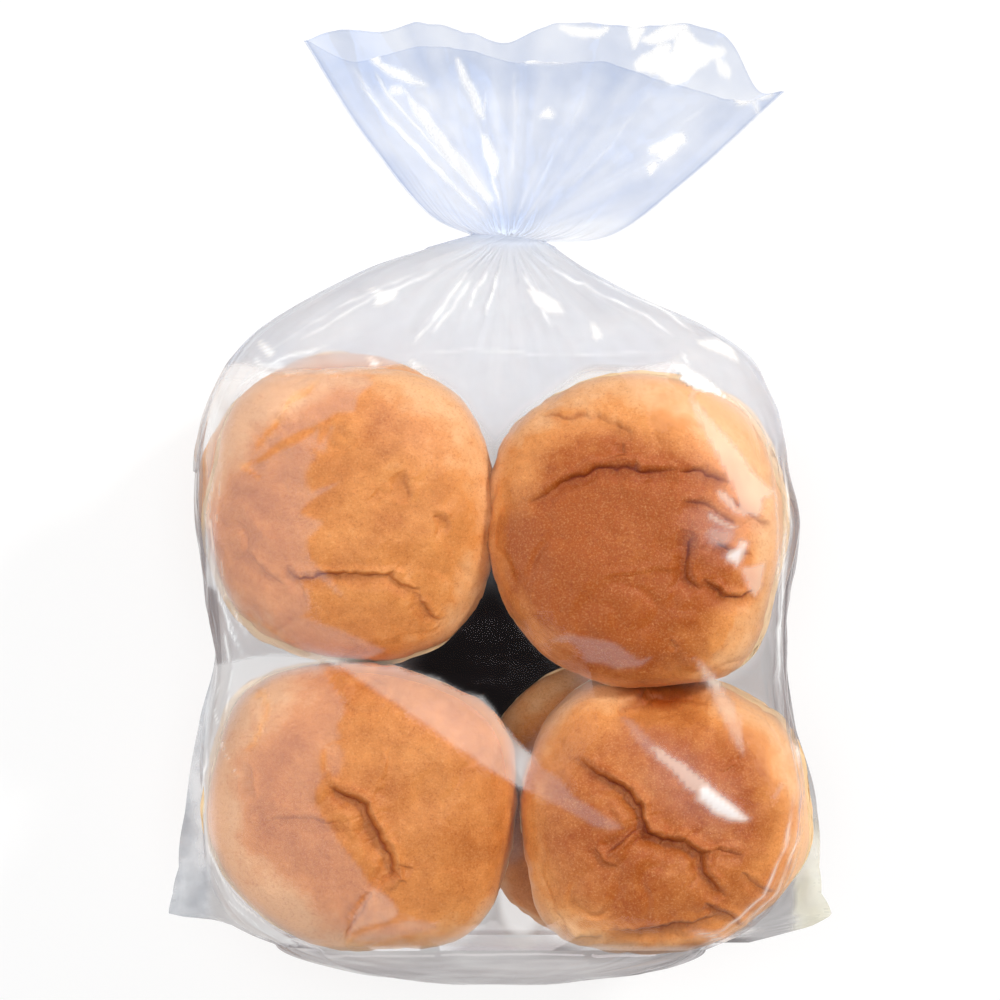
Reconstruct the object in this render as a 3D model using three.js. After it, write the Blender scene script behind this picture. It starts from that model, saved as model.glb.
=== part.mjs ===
// A closed bag of eight hamburger buns, lying on its back. The buns sit in two layers of four, so the
// filled body is a rounded slab that bulges over each bun. The clear film is gathered into a tight
// neck, and above it opens out into a flared, pleated top. A welded seam runs up each side of the
// bag and stands out at the bottom corners as two flat ears.
//
// Units are millimetres. +X is across the bag, +Y runs from its bottom to its open top, and +Z is
// up. The origin is under the middle of the bag, on the surface that it lies on.

import * as THREE from "three";

// ---- Driving dimensions -------------------------------------------------------------------------

const sheetPoints = 36; // points across the front sheet, and across the back sheet
const seamPlane = 46; // height of the side seams, half way up the filled bag

const bun = {
  radius: 50,
  sag: 0.085, // how far the film drops at a bun's rim, as a share of the half thickness
  deepestSag: 0.125, // the same between the buns
  press: 1.8, // how far the bag settles on the surface below it
};

// The middle of each pair of buns, one on the front layer and one under it.
const bunPlaces = [
  [-51, -5],
  [46, -9.5],
  [-47.5, -105.5],
  [56, -108],
];

const seam = {
  thickness: 1.6,
  bead: 0.8, // how far the weld stands out on the flared top
};

const bottom = {
  edge: -153, // where the front and back panels turn under
  bulge: 14, // how far the bottom panel swells past that edge
  roundness: 1.75,
  rings: 6,
};

const neck = {
  radius: 9.5,
  foldDepth: 1.1, // the gathered film is fluted
  foldReach: 0.26, // how far up the flared top the fluting fades out, as a share of its length
};

const mouth = {
  wall: 1.6,
  cornerInset: 8, // the front and back sheets lie together this far in from each side
  floor: 0.38, // how far up the flared top its hollow starts, as a share of its length
  seamHeight: 31, // height of the side seams at the lip
  frontRise: 16.5, // how far the front lip stands above the seams
  backDrop: 15.5, // how far the back lip hangs below them
  lipGrowth: 1.4,
  outerSteps: [0.07, 0.15, 0.26, 0.4, 0.55, 0.7, 0.85, 1],
  innerSteps: [1, 0.85, 0.7, 0.55, 0.38],
};

const pleats = {
  count: 7, // across each sheet
  start: 42, // where they begin on the shoulder
  shoulderDepth: 1.3,
  topDepth: 1.7,
  topGrowth: 0.33, // the share of the flared top over which its pleats open
};

// ---- Smooth curves through a few places ---------------------------------------------------------

function through(places, Interpolant = THREE.CubicInterpolant) {
  const at = places.map((place) => place[0]);
  const values = places.map((place) => place[1]);
  const curve = new Interpolant(at, values, 1, new Float64Array(1));
  return (u) => curve.evaluate(u)[0];
}

function straightThrough(places) {
  return through(places, THREE.LinearInterpolant);
}

// Half the bag's thickness along its length: a flat slab, then a shoulder down to the neck.
const halfThickness = through([
  [-153, 36],
  [-147, 40.5],
  [-136, 44],
  [-116, 46],
  [16, 46],
  [38, 44],
  [50, 41],
  [60, 36.5],
  [69, 31],
  [77, 24.5],
  [83, 18.5],
  [87, 13],
]);

// How square the bag is across: 2 is an ellipse, and larger is squarer.
const squareness = through([
  [-153, 3.1],
  [-120, 3.9],
  [-57, 4.1],
  [10, 3.9],
  [60, 2.6],
  [87, 2],
]);

// The sides of the filled body, drawn in a little between the two rows of buns.
const leftSide = through([
  [-153, -77],
  [-146, -89],
  [-137, -96.5],
  [-125, -100.5],
  [-100, -102.5],
  [-75, -101],
  [-55, -97.5],
  [-35, -100],
  [0, -104],
  [17, -103.5],
  [29.5, -101],
  [39.7, -97],
  [50, -91],
  [58.7, -83],
  [66.6, -71],
  [74.2, -57],
  [82, -40],
  [87, -24],
]);
const rightSide = through([
  [-153, 69],
  [-148, 80],
  [-142, 88],
  [-133, 95],
  [-120, 100],
  [-105, 102.5],
  [-75, 99.5],
  [-55, 98],
  [-32, 98.5],
  [-7, 102],
  [8, 98.5],
  [22, 96.5],
  [38, 91],
  [50, 83.5],
  [62, 65],
  [69.7, 47.5],
  [79, 30],
  [87, 18],
]);

// How far the side seams stand out from the filled body, with the flat ears at the bottom corners.
const leftEar = straightThrough([
  [-153, 2],
  [-151, 4],
  [-146.5, 5],
  [-145, 9],
  [-143.4, 22.6],
  [-136, 16],
  [-127, 11],
  [-108, 6.5],
  [-80, 3],
  [-52, 0.8],
]);
const rightEar = straightThrough([
  [-153, 17],
  [-147.5, 26],
  [-143.4, 28.3],
  [-136, 18],
  [-127, 12.5],
  [-108, 7.5],
  [-80, 2.4],
  [-56, 0.8],
]);

const bodyStations = [
  -153, -152, -149, -146.5, -145, -143.6, -140, -134, -127, -118, -108, -97, -86, -75, -64, -53, -42,
  -31, -20, -9, 2, 13, 22, 31, 39, 46, 53, 60, 67, 74, 80, 84.5, 87.5,
];

// The side edges of the flared top, from the neck to the lip.
const topLeft = new THREE.SplineCurve([
  new THREE.Vector2(-8, 91),
  new THREE.Vector2(-23, 98),
  new THREE.Vector2(-44, 123),
  new THREE.Vector2(-67.6, 160),
]);
const topRight = new THREE.SplineCurve([
  new THREE.Vector2(13.5, 89),
  new THREE.Vector2(38, 91.6),
  new THREE.Vector2(64, 111),
  new THREE.Vector2(98.3, 142.3),
]);

// How far each lip stands past the straight line between the two top corners, from right to left.
const backLip = through([
  [0, 0],
  [0.05, 0.5],
  [0.1, 15.5],
  [0.18, 21.4],
  [0.32, 18.2],
  [0.5, 15.6],
  [0.58, 8.5],
  [0.66, 10.2],
  [0.75, 11.2],
  [0.85, 6.6],
  [0.95, 5],
  [1, 0],
]);
const frontLip = through([
  [0, 0],
  [0.09, -5.7],
  [0.23, -3],
  [0.41, 2.3],
  [0.57, -1],
  [0.65, 2.2],
  [0.8, -0.6],
  [0.91, -6],
  [1, 0],
]);

// ---- Rings of points round the bag --------------------------------------------------------------

const smooth = (u) => THREE.MathUtils.smoothstep(u, 0, 1);
const spread = (i) => (Math.PI * i) / (sheetPoints - 1);

// The film's drop over and between the buns, as a share of the half thickness.
function filmSag(x, y) {
  const nearest = Math.min(...bunPlaces.map(([bx, by]) => Math.hypot(x - bx, y - by)));
  const drop = bun.sag * (nearest / bun.radius) ** 2;
  return bun.deepestSag * Math.tanh(drop / bun.deepestSag);
}

// One point of the body's front (side 1) or back (side -1) sheet, at an angle from the right seam.
function bodyPoint(y, angle, side) {
  const power = squareness(y);
  const reach = (Math.abs(Math.cos(angle)) ** power + Math.sin(angle) ** power) ** (-1 / power);
  const middle = (leftSide(y) + rightSide(y)) / 2;
  const half = (rightSide(y) - leftSide(y)) / 2;
  const x = middle + half * reach * Math.cos(angle);
  const rise = reach * Math.sin(angle);
  const fold = smooth((y - pleats.start) / (neckLine - pleats.start));
  const pleat = pleats.shoulderDepth * fold * rise * Math.cos(2 * pleats.count * angle);
  const settle = side < 0 ? bun.press : 0;
  const height = (halfThickness(y) + settle) * rise * (1 - filmSag(x, y)) + pleat;
  return new THREE.Vector3(x, y, Math.max(seamPlane + side * height, 0));
}

// A ring runs across the front sheet from right to left, round the left seam, back across the back
// sheet, and round the right seam.
function ringFrom(sheetPoint, leftTip, rightTip, thickness) {
  const ring = [];
  const tip = (place, side) => {
    const point = place.clone();
    point.z += (side * thickness) / 2;
    return point;
  };
  for (let i = 0; i < sheetPoints; i += 1) {
    ring.push(sheetPoint(spread(i), 1));
  }
  ring.push(tip(leftTip, 1), tip(leftTip, -1));
  for (let i = sheetPoints - 1; i >= 0; i -= 1) {
    ring.push(sheetPoint(spread(i), -1));
  }
  ring.push(tip(rightTip, -1), tip(rightTip, 1));
  return ring;
}

// Keeps the two sheets a weld's thickness apart where they meet at a seam.
function keptApart(point, plane, side, thickness) {
  const least = plane + (side * thickness) / 2;
  point.z = side > 0 ? Math.max(point.z, least) : Math.min(point.z, least);
  return point;
}

const neckLine = 90;

function bodyRing(y) {
  const left = leftSide(y) - leftEar(y);
  const right = rightSide(y) + rightEar(y);
  return ringFrom(
    (angle, side) => keptApart(bodyPoint(y, angle, side), seamPlane, side, seam.thickness),
    new THREE.Vector3(left, y, seamPlane),
    new THREE.Vector3(right, y, seamPlane),
    seam.thickness,
  );
}

// The bottom panel: the first body ring drawn in towards its middle as it swells downwards.
function bottomRing(share) {
  const angle = (share * Math.PI) / 2;
  const shrink = Math.cos(angle) ** (2 / bottom.roundness);
  const swell = bottom.bulge * Math.sin(angle) ** (2 / bottom.roundness);
  const middle = (leftSide(bottom.edge) + rightSide(bottom.edge)) / 2;
  return bodyRing(bottom.edge).map(
    (point) =>
      new THREE.Vector3(
        THREE.MathUtils.lerp(middle, point.x, shrink),
        bottom.edge - swell,
        THREE.MathUtils.lerp(seamPlane, point.z, shrink),
      ),
  );
}

// The flared top, at a share t of the way from the neck to the lip. The hollow inside it uses the
// same shape, drawn in by the wall.
function topRing(t, hollow) {
  const right = topRight.getPoint(t);
  const left = topLeft.getPoint(t);
  const plane = THREE.MathUtils.lerp(seamPlane, mouth.seamHeight, smooth(t));
  const chord = right.distanceTo(left);
  const inset = hollow ? mouth.cornerInset / chord : 0;
  const weld = (hollow ? 0 : seam.bead) / chord;
  const flute = Math.max(1 - t / neck.foldReach, 0);
  const depthAt = (side) => {
    const atLip = side > 0 ? mouth.frontRise : mouth.backDrop;
    const wall = hollow ? mouth.wall : 0;
    return THREE.MathUtils.lerp(neck.radius, atLip, Math.sqrt(t)) - wall;
  };
  const place = (share, side, lift) => {
    const lip = (side > 0 ? frontLip : backLip)(share) * t ** mouth.lipGrowth;
    const x = THREE.MathUtils.lerp(right.x, left.x, share);
    const y = THREE.MathUtils.lerp(right.y, left.y, share) + lip;
    return new THREE.Vector3(x, y, plane + side * lift);
  };
  const sheetPoint = (angle, side) => {
    const across = (1 - Math.cos(angle)) / 2;
    const share = THREE.MathUtils.lerp(inset + weld, 1 - inset - weld, across);
    const folds = 2 * pleats.count * Math.acos(1 - 2 * share) + side;
    const depth = pleats.topDepth * smooth(t / pleats.topGrowth) + neck.foldDepth * flute;
    const pleat = depth * Math.sin(angle) * Math.cos(folds);
    const lift = depthAt(side) * Math.sin(angle) + pleat;
    return keptApart(place(share, side, lift), plane, side, seam.thickness);
  };
  return ringFrom(sheetPoint, place(1 - inset, 1, 0), place(inset, 1, 0), seam.thickness);
}

// ---- The closed skin ----------------------------------------------------------------------------

function centreOf(ring) {
  const sum = ring.reduce((total, point) => total.add(point), new THREE.Vector3());
  return sum.divideScalar(ring.length);
}

// Joins a run of rings into one closed surface, with a point at each end.
function skin(rings, firstEnd, lastEnd) {
  const size = rings[0].length;
  const points = [...rings.flat(), firstEnd, lastEnd];
  const first = points.length - 2;
  const last = points.length - 1;
  const faces = [];
  rings.slice(1).forEach((_, row) => {
    for (let i = 0; i < size; i += 1) {
      const here = row * size + i;
      const next = row * size + ((i + 1) % size);
      faces.push(here, next + size, next, here, here + size, next + size);
    }
  });
  const lastRow = (rings.length - 1) * size;
  for (let i = 0; i < size; i += 1) {
    const next = (i + 1) % size;
    faces.push(first, i, next);
    faces.push(last, lastRow + next, lastRow + i);
  }
  const geometry = new THREE.BufferGeometry().setFromPoints(points);
  geometry.setIndex(faces);
  geometry.computeVertexNormals();
  return geometry;
}

function bagGeometry() {
  const bottomShares = Array.from({ length: bottom.rings }, (_, i) => 1 - (i + 1) / (bottom.rings + 1));
  const rings = [
    ...bottomShares.map((share) => bottomRing(share)),
    ...bodyStations.map((y) => bodyRing(y)),
    topRing(0, false),
    ...mouth.outerSteps.map((t) => topRing(t, false)),
    ...mouth.innerSteps.map((t) => topRing(t, true)),
  ];
  const lowest = new THREE.Vector3(centreOf(rings[0]).x, bottom.edge - bottom.bulge, seamPlane);
  const geometry = skin(rings, lowest, centreOf(rings.at(-1)));
  geometry.computeBoundingBox();
  const middle = geometry.boundingBox.getCenter(new THREE.Vector3());
  return geometry.translate(-middle.x, -middle.y, 0);
}

const film = new THREE.MeshStandardMaterial({
  color: new THREE.Color(0.86, 0.89, 0.93),
  roughness: 0.12,
  metalness: 0,
});

const bag = new THREE.Mesh(bagGeometry(), film);
bag.name = "bag";

const baggedBuns = new THREE.Group();
baggedBuns.add(bag);

export default baggedBuns;
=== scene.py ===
import math

import bpy
import numpy as np
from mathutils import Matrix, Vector


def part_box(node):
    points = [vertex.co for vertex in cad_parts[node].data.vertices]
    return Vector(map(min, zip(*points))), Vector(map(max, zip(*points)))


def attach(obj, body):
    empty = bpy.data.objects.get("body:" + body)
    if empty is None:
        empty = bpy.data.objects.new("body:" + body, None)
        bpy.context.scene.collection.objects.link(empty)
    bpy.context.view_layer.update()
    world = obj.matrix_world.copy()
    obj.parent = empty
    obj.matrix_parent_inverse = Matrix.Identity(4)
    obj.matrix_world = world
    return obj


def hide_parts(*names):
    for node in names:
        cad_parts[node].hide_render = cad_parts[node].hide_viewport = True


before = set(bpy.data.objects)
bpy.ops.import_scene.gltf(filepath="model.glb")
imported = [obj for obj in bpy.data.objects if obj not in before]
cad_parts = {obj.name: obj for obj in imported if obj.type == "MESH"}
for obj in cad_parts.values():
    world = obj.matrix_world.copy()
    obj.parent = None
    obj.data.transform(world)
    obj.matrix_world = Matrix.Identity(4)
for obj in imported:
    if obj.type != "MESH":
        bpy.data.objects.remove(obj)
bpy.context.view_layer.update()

# A clear bag of eight sliced hamburger buns, lying on its back. Lengths are in millimetres until
# a mesh is written, and every place is in the frame's own axes.
mm = 0.001
bagLow, bagHigh = (np.array(corner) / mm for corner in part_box("bag"))
bagMiddle = (bagLow + bagHigh) / 2


def through(places):
    # a smooth curve through a few (at, value) places
    at, values = np.array(places, float).T
    slopes = np.gradient(values, at)

    def curve(u):
        u = np.clip(np.asarray(u, float), at[0], at[-1])
        i = np.clip(np.searchsorted(at, u, side="right") - 1, 0, len(at) - 2)
        span = at[i + 1] - at[i]
        t = (u - at[i]) / span
        rise = values[i + 1] - values[i]
        start = values[i] + t * t * (3 - 2 * t) * rise
        return start + span * t * (1 - t) * ((1 - t) * slopes[i] - t * slopes[i + 1])

    return curve


def straight(places):
    at, values = np.array(places, float).T
    return lambda u: np.interp(u, at, values)


def smooth(low, high, value):
    t = np.clip((value - low) / (high - low), 0, 1)
    return t * t * (3 - 2 * t)


def mix(a, b, share):
    return a + (b - a) * share


def latticeValue(cells, seed):
    # a repeatable random value from -1 to 1 for each whole-number cell
    mixed = np.full(cells.shape[:-1], seed * 7919 + 17, np.int64)
    for axis, prime in zip(range(cells.shape[-1]), (73856093, 19349663, 83492791)):
        mixed = (mixed ^ (cells[..., axis].astype(np.int64) * prime)) & 0xFFFFFFFF
        mixed = (mixed * 2654435761 + 12345) & 0xFFFFFFFF
        mixed ^= mixed >> 15
    return (mixed % 20011) / 10005.0 - 1


def lumps(points, size, seed):
    # soft three-dimensional noise with lumps of the given size
    scaled = np.asarray(points, float) / size
    cell = np.floor(scaled)
    part = scaled - cell
    part = part * part * (3 - 2 * part)
    total = 0
    for corner in np.ndindex(*(2,) * scaled.shape[-1]):
        corner = np.array(corner)
        weight = np.prod(np.where(corner == 1, part, 1 - part), axis=-1)
        total = total + weight * latticeValue(cell + corner, seed)
    return total


def facets(x, y, size, seed, bend=0.35):
    # crumpled-film relief: flat triangles that meet along sharp creases
    x, y = np.broadcast_arrays(x, y)
    flat = np.stack([x, y], axis=-1)
    u = x / size + bend * lumps(flat, size * 1.7, seed + 1)
    v = y / size + bend * lumps(flat, size * 1.7, seed + 2) + 0.5 * u
    i, j = np.floor(u), np.floor(v)
    a, b = u - i, v - j
    low = latticeValue(np.stack([i, j], axis=-1), seed)
    far = latticeValue(np.stack([i + 1, j + 1], axis=-1), seed)
    side = np.where(
        a > b,
        latticeValue(np.stack([i + 1, j], axis=-1), seed),
        latticeValue(np.stack([i, j + 1], axis=-1), seed),
    )
    most, least = np.maximum(a, b), np.minimum(a, b)
    return low * (1 - most) + side * (most - least) + far * least


def alongLine(x, y, line):
    # distance from a bent line, and how far along it the nearest place is (0 to 1)
    line = np.array(line, float)
    lengths = np.hypot(*(line[1:] - line[:-1]).T)
    starts = np.concatenate([[0], np.cumsum(lengths)])
    nearest = np.full(x.shape, 1e9)
    share = np.zeros(x.shape)
    offset = np.zeros(x.shape)
    for (x0, y0), (x1, y1), start, length in zip(line[:-1], line[1:], starts, lengths):
        dx, dy = (x1 - x0) / length, (y1 - y0) / length
        along = np.clip((x - x0) * dx + (y - y0) * dy, 0, length)
        gapX, gapY = x - x0 - along * dx, y - y0 - along * dy
        gap = np.hypot(gapX, gapY)
        closer = gap < nearest
        nearest = np.where(closer, gap, nearest)
        share = np.where(closer, (start + along) / starts[-1], share)
        offset = np.where(closer, dx * gapY - dy * gapX, offset)
    return nearest, share, offset


def depthInside(x, y, outline):
    # how far inside a closed outline a place lies, less than 0 outside it
    gap = alongLine(x, y, outline + outline[:1])[0]
    inside = np.zeros(x.shape, bool)
    for (x0, y0), (x1, y1) in zip(outline, outline[1:] + outline[:1]):
        if y0 != y1:
            crosses = (y0 > y) != (y1 > y)
            inside ^= crosses & (x < x0 + (y - y0) * (x1 - x0) / (y1 - y0))
    return np.where(inside, gap, -gap)


def thinLines(x, y, lines):
    # how strongly a place lies on one of a few thin lines that fade in and out
    amount = np.zeros(x.shape)
    for number, (line, width, strength) in enumerate(lines):
        gap, share, offset = alongLine(x, y, line)
        ends = np.clip(np.minimum(share, 1 - share) * 6, 0, 1)
        along = np.stack([share * 9, 0 * gap + number], axis=-1)
        broken = np.clip(0.75 + 0.6 * lumps(along, 1, 190), 0.1, 1)
        amount = np.maximum(amount, strength * ends * broken * np.exp(-((gap / width) ** 2)))
    return amount


def meshObject(name, points, faces):
    # points in millimetres; the finished object sits at the origin
    mesh = bpy.data.meshes.new(name)
    mesh.from_pydata((points * mm).tolist(), [], faces.tolist())
    mesh.update()
    mesh.shade_smooth()
    piece = bpy.data.objects.new(name, mesh)
    bpy.context.scene.collection.objects.link(piece)
    return piece


def getPoints(piece):
    points = np.zeros(len(piece.data.vertices) * 3)
    piece.data.vertices.foreach_get("co", points)
    return points.reshape(-1, 3)


def setPoints(piece, points):
    piece.data.vertices.foreach_set("co", points.ravel())
    piece.data.update()


def paint(piece, name, values):
    # a number at every vertex, for the materials to read
    layer = piece.data.attributes.new(name, "FLOAT", "POINT")
    layer.data.foreach_set("value", np.asarray(values, np.float32))


def paintColour(piece, name, colours):
    layer = piece.data.attributes.new(name, "FLOAT_COLOR", "POINT")
    opaque = np.concatenate([colours, np.ones((len(colours), 1))], axis=1)
    layer.data.foreach_set("color", opaque.astype(np.float32).ravel())


def addNode(tree, kind, **sockets):
    node = tree.nodes.new(kind)
    for name, value in sockets.items():
        target = node.inputs[name] if name in node.inputs else None
        if target is None:
            setattr(node, name, value)
        elif isinstance(value, bpy.types.NodeSocket):
            tree.links.new(value, target)
        else:
            target.default_value = value
    return node


def math2(tree, operation, a, b=0.0, clamp=False):
    node = tree.nodes.new("ShaderNodeMath")
    node.operation = operation
    node.use_clamp = clamp
    for socket, value in zip(node.inputs, (a, b)):
        if isinstance(value, bpy.types.NodeSocket):
            tree.links.new(value, socket)
        else:
            socket.default_value = value
    return node.outputs[0]


def mixColour(tree, share, a, b, blend="MIX"):
    # colour a, with b mixed in or multiplied over it by the given share
    node = tree.nodes.new("ShaderNodeMix")
    node.data_type = "RGBA"
    node.blend_type = blend
    for number, value in ((0, share), (6, a), (7, b)):
        if isinstance(value, bpy.types.NodeSocket):
            tree.links.new(value, node.inputs[number])
        else:
            node.inputs[number].default_value = value
    return node.outputs[2]


def rescale(tree, value, **ends):
    # a value spread over another range; the ends are named as the node names them
    node = addNode(tree, "ShaderNodeMapRange", Value=value)
    for name, end in ends.items():
        node.inputs[name.replace("_", " ")].default_value = end
    return node.outputs["Result"]


def srgb(red, green, blue):
    # a screen colour, 0 to 255, as the light values that shaders take
    parts = np.array([red, green, blue]) / 255
    light = np.where(parts <= 0.04045, parts / 12.92, ((parts + 0.055) / 1.055) ** 2.4)
    return (*light.tolist(), 1)


view = {"across": 345, "distance": 2000, "lookHeight": 50, "sensor": 36}

# Panels only show as reflections in the film, and lamps only light the object and the floor.
studio = {
    "panels": {
        "leftPanel": {"at": (-900, -40, 640), "size": (2200, 1400), "power": 13.0, "colour": (0.9, 0.96, 1)},
        "rightPanel": {"at": (780, 655, 410), "size": (1270, 1270), "power": 10.0, "colour": (1, 0.99, 0.98)},
        "topPanel": {"at": (-150, 1010, 466), "size": (1150, 890), "power": 5.0, "colour": (1, 1, 1)},
        "lowPanel": {"at": (-150, -1020, 720), "size": (700, 360), "power": 1.6, "colour": (1, 1, 1)},
    },
    "lamps": {
        "keyLamp": {"at": (1500, 950, 1300), "size": (330, 330), "power": 25.0, "colour": (1, 0.985, 0.96)},
        "leftLamp": {"at": (-900, 100, 900), "size": (900, 900), "power": 4.0, "colour": (1, 1, 1)},
        "overheadLamp": {"at": (0, 0, 2400), "size": (1500, 1500), "power": 25.5, "colour": (1, 1, 1)},
    },
    "sheenLamp": {"at": (740, 600, 1500), "size": (420, 420), "power": 4.5, "colour": (1, 0.97, 0.95)},
    "skyTop": 0.03,
    "skyEdge": 0.6,
    "floorColour": (0.26, 0.26, 0.26, 1),
    # painted shade: the near-black floor colour under the middle of the bag, and below, where it lies
    "paintedGapShade": (0.002, 0.0017, 0.0017, 1),
    "floorGlow": 2.95,
    "paintedShadeUnderGap": {"at": (0, -57), "reach": 42},
}


def addLamp(name, panel, isPanel):
    data = bpy.data.lights.new(name, "AREA")
    data.shape = "RECTANGLE"
    data.size, data.size_y = (side * mm for side in panel["size"])
    data.energy = panel["power"]
    data.color = panel["colour"]
    lamp = bpy.data.objects.new(name, data)
    bpy.context.scene.collection.objects.link(lamp)
    lamp.location = Vector(panel["at"]) * mm
    aim = Vector((0, -20 * mm, view["lookHeight"] * mm)) - lamp.location
    lamp.rotation_euler = aim.to_track_quat("-Z", "Y").to_euler()
    lamp.visible_camera = False
    lamp.visible_diffuse = not isPanel
    lamp.visible_glossy = isPanel
    return lamp


def makeStudio():
    scene = bpy.context.scene
    camera = bpy.data.objects.new("camera", bpy.data.cameras.new("camera"))
    scene.collection.objects.link(camera)
    camera.location = (0, 0, (view["lookHeight"] + view["distance"]) * mm)
    camera.data.sensor_width = view["sensor"]
    camera.data.lens = view["sensor"] * view["distance"] / view["across"]
    camera.data.clip_end = 20
    scene.camera = camera

    for name, panel in studio["panels"].items():
        addLamp(name, panel, True)
    for name, lamp in studio["lamps"].items():
        addLamp(name, lamp, False)
    # the crusts' soft gloss has a lamp of its own, which the film doesn't mirror
    bakery = bpy.data.collections.new("bakery")
    scene.collection.children.link(bakery)
    addLamp("sheenLamp", studio["sheenLamp"], True).light_linking.receiver_collection = bakery

    world = bpy.data.worlds.new("studioWorld")
    world.use_nodes = True
    # the studio is dim straight overhead and paler towards the walls
    sky = world.node_tree
    heading = addNode(sky, "ShaderNodeTexCoord").outputs["Generated"]
    upward = addNode(sky, "ShaderNodeSeparateXYZ", Vector=heading).outputs["Z"]
    level = rescale(sky, upward, To_Min=studio["skyEdge"], To_Max=studio["skyTop"])
    sky.links.new(level, sky.nodes["Background"].inputs["Strength"])
    sky.nodes["Background"].inputs["Color"].default_value = (1, 1, 1, 1)
    scene.world = world

    bpy.ops.object.select_all(action="DESELECT")
    bpy.ops.mesh.primitive_plane_add(size=8, location=(0, 0, -0.0006))
    floor = bpy.context.object
    floor.name = "floor"
    paper = bpy.data.materials.new("paperFloor")
    paper.use_nodes = True
    tree = paper.node_tree
    shader = tree.nodes["Principled BSDF"]
    # painted shade: the floor is painted near-black, without glow, where it shows between the buns under the
    # middle of the bag
    place = addNode(tree, "ShaderNodeTexCoord").outputs["Object"]
    gap = studio["paintedShadeUnderGap"]
    middle = (gap["at"][0] * mm, gap["at"][1] * mm, 0)
    shift = addNode(tree, "ShaderNodeVectorMath", operation="DISTANCE")
    tree.links.new(place, shift.inputs[0])
    shift.inputs[1].default_value = middle
    shade = addNode(tree, "ShaderNodeMapRange", interpolation_type="SMOOTHSTEP")
    tree.links.new(shift.outputs["Value"], shade.inputs["Value"])
    shade.inputs["From Min"].default_value = gap["reach"] * mm
    shade.inputs["From Max"].default_value = gap["reach"] * mm * 1.35
    colour = mixColour(tree, shade.outputs["Result"], studio["paintedGapShade"], studio["floorColour"])
    tree.links.new(colour, shader.inputs["Base Color"])
    tree.links.new(colour, shader.inputs["Emission Color"])
    shader.inputs["Emission Strength"].default_value = studio["floorGlow"]
    shader.inputs["Roughness"].default_value = 0.9
    shader.inputs["Specular IOR Level"].default_value = 0.0
    floor.data.materials.append(paper)

    scene.view_settings.view_transform = "Standard"
    scene.cycles.max_bounces = 4
    scene.cycles.diffuse_bounces = 2
    scene.cycles.glossy_bounces = 2
    scene.cycles.transparent_max_bounces = 16
    scene.cycles.caustics_reflective = False
    scene.cycles.caustics_refractive = False
    scene.cycles.use_denoising = True


# Each bun lies crown up in the front layer, or crown down in the back layer. Creases are bent
# lines on the crown, about the bun's middle: the line, how deep, how wide. Lean is how much the
# bun's height changes for each millimetre to the right and up; brownAt is where it browned most;
# dents are where a neighbour presses on it: the place, how wide, how deep.
bunLook = {
    "height": 45.0, "widest": 20, "slice": 17, "sliceGap": 1.0, "domePower": 2.35, "basePower": 3.0,
    "creaseMesh": (4.5, 2.0),
}

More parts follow.
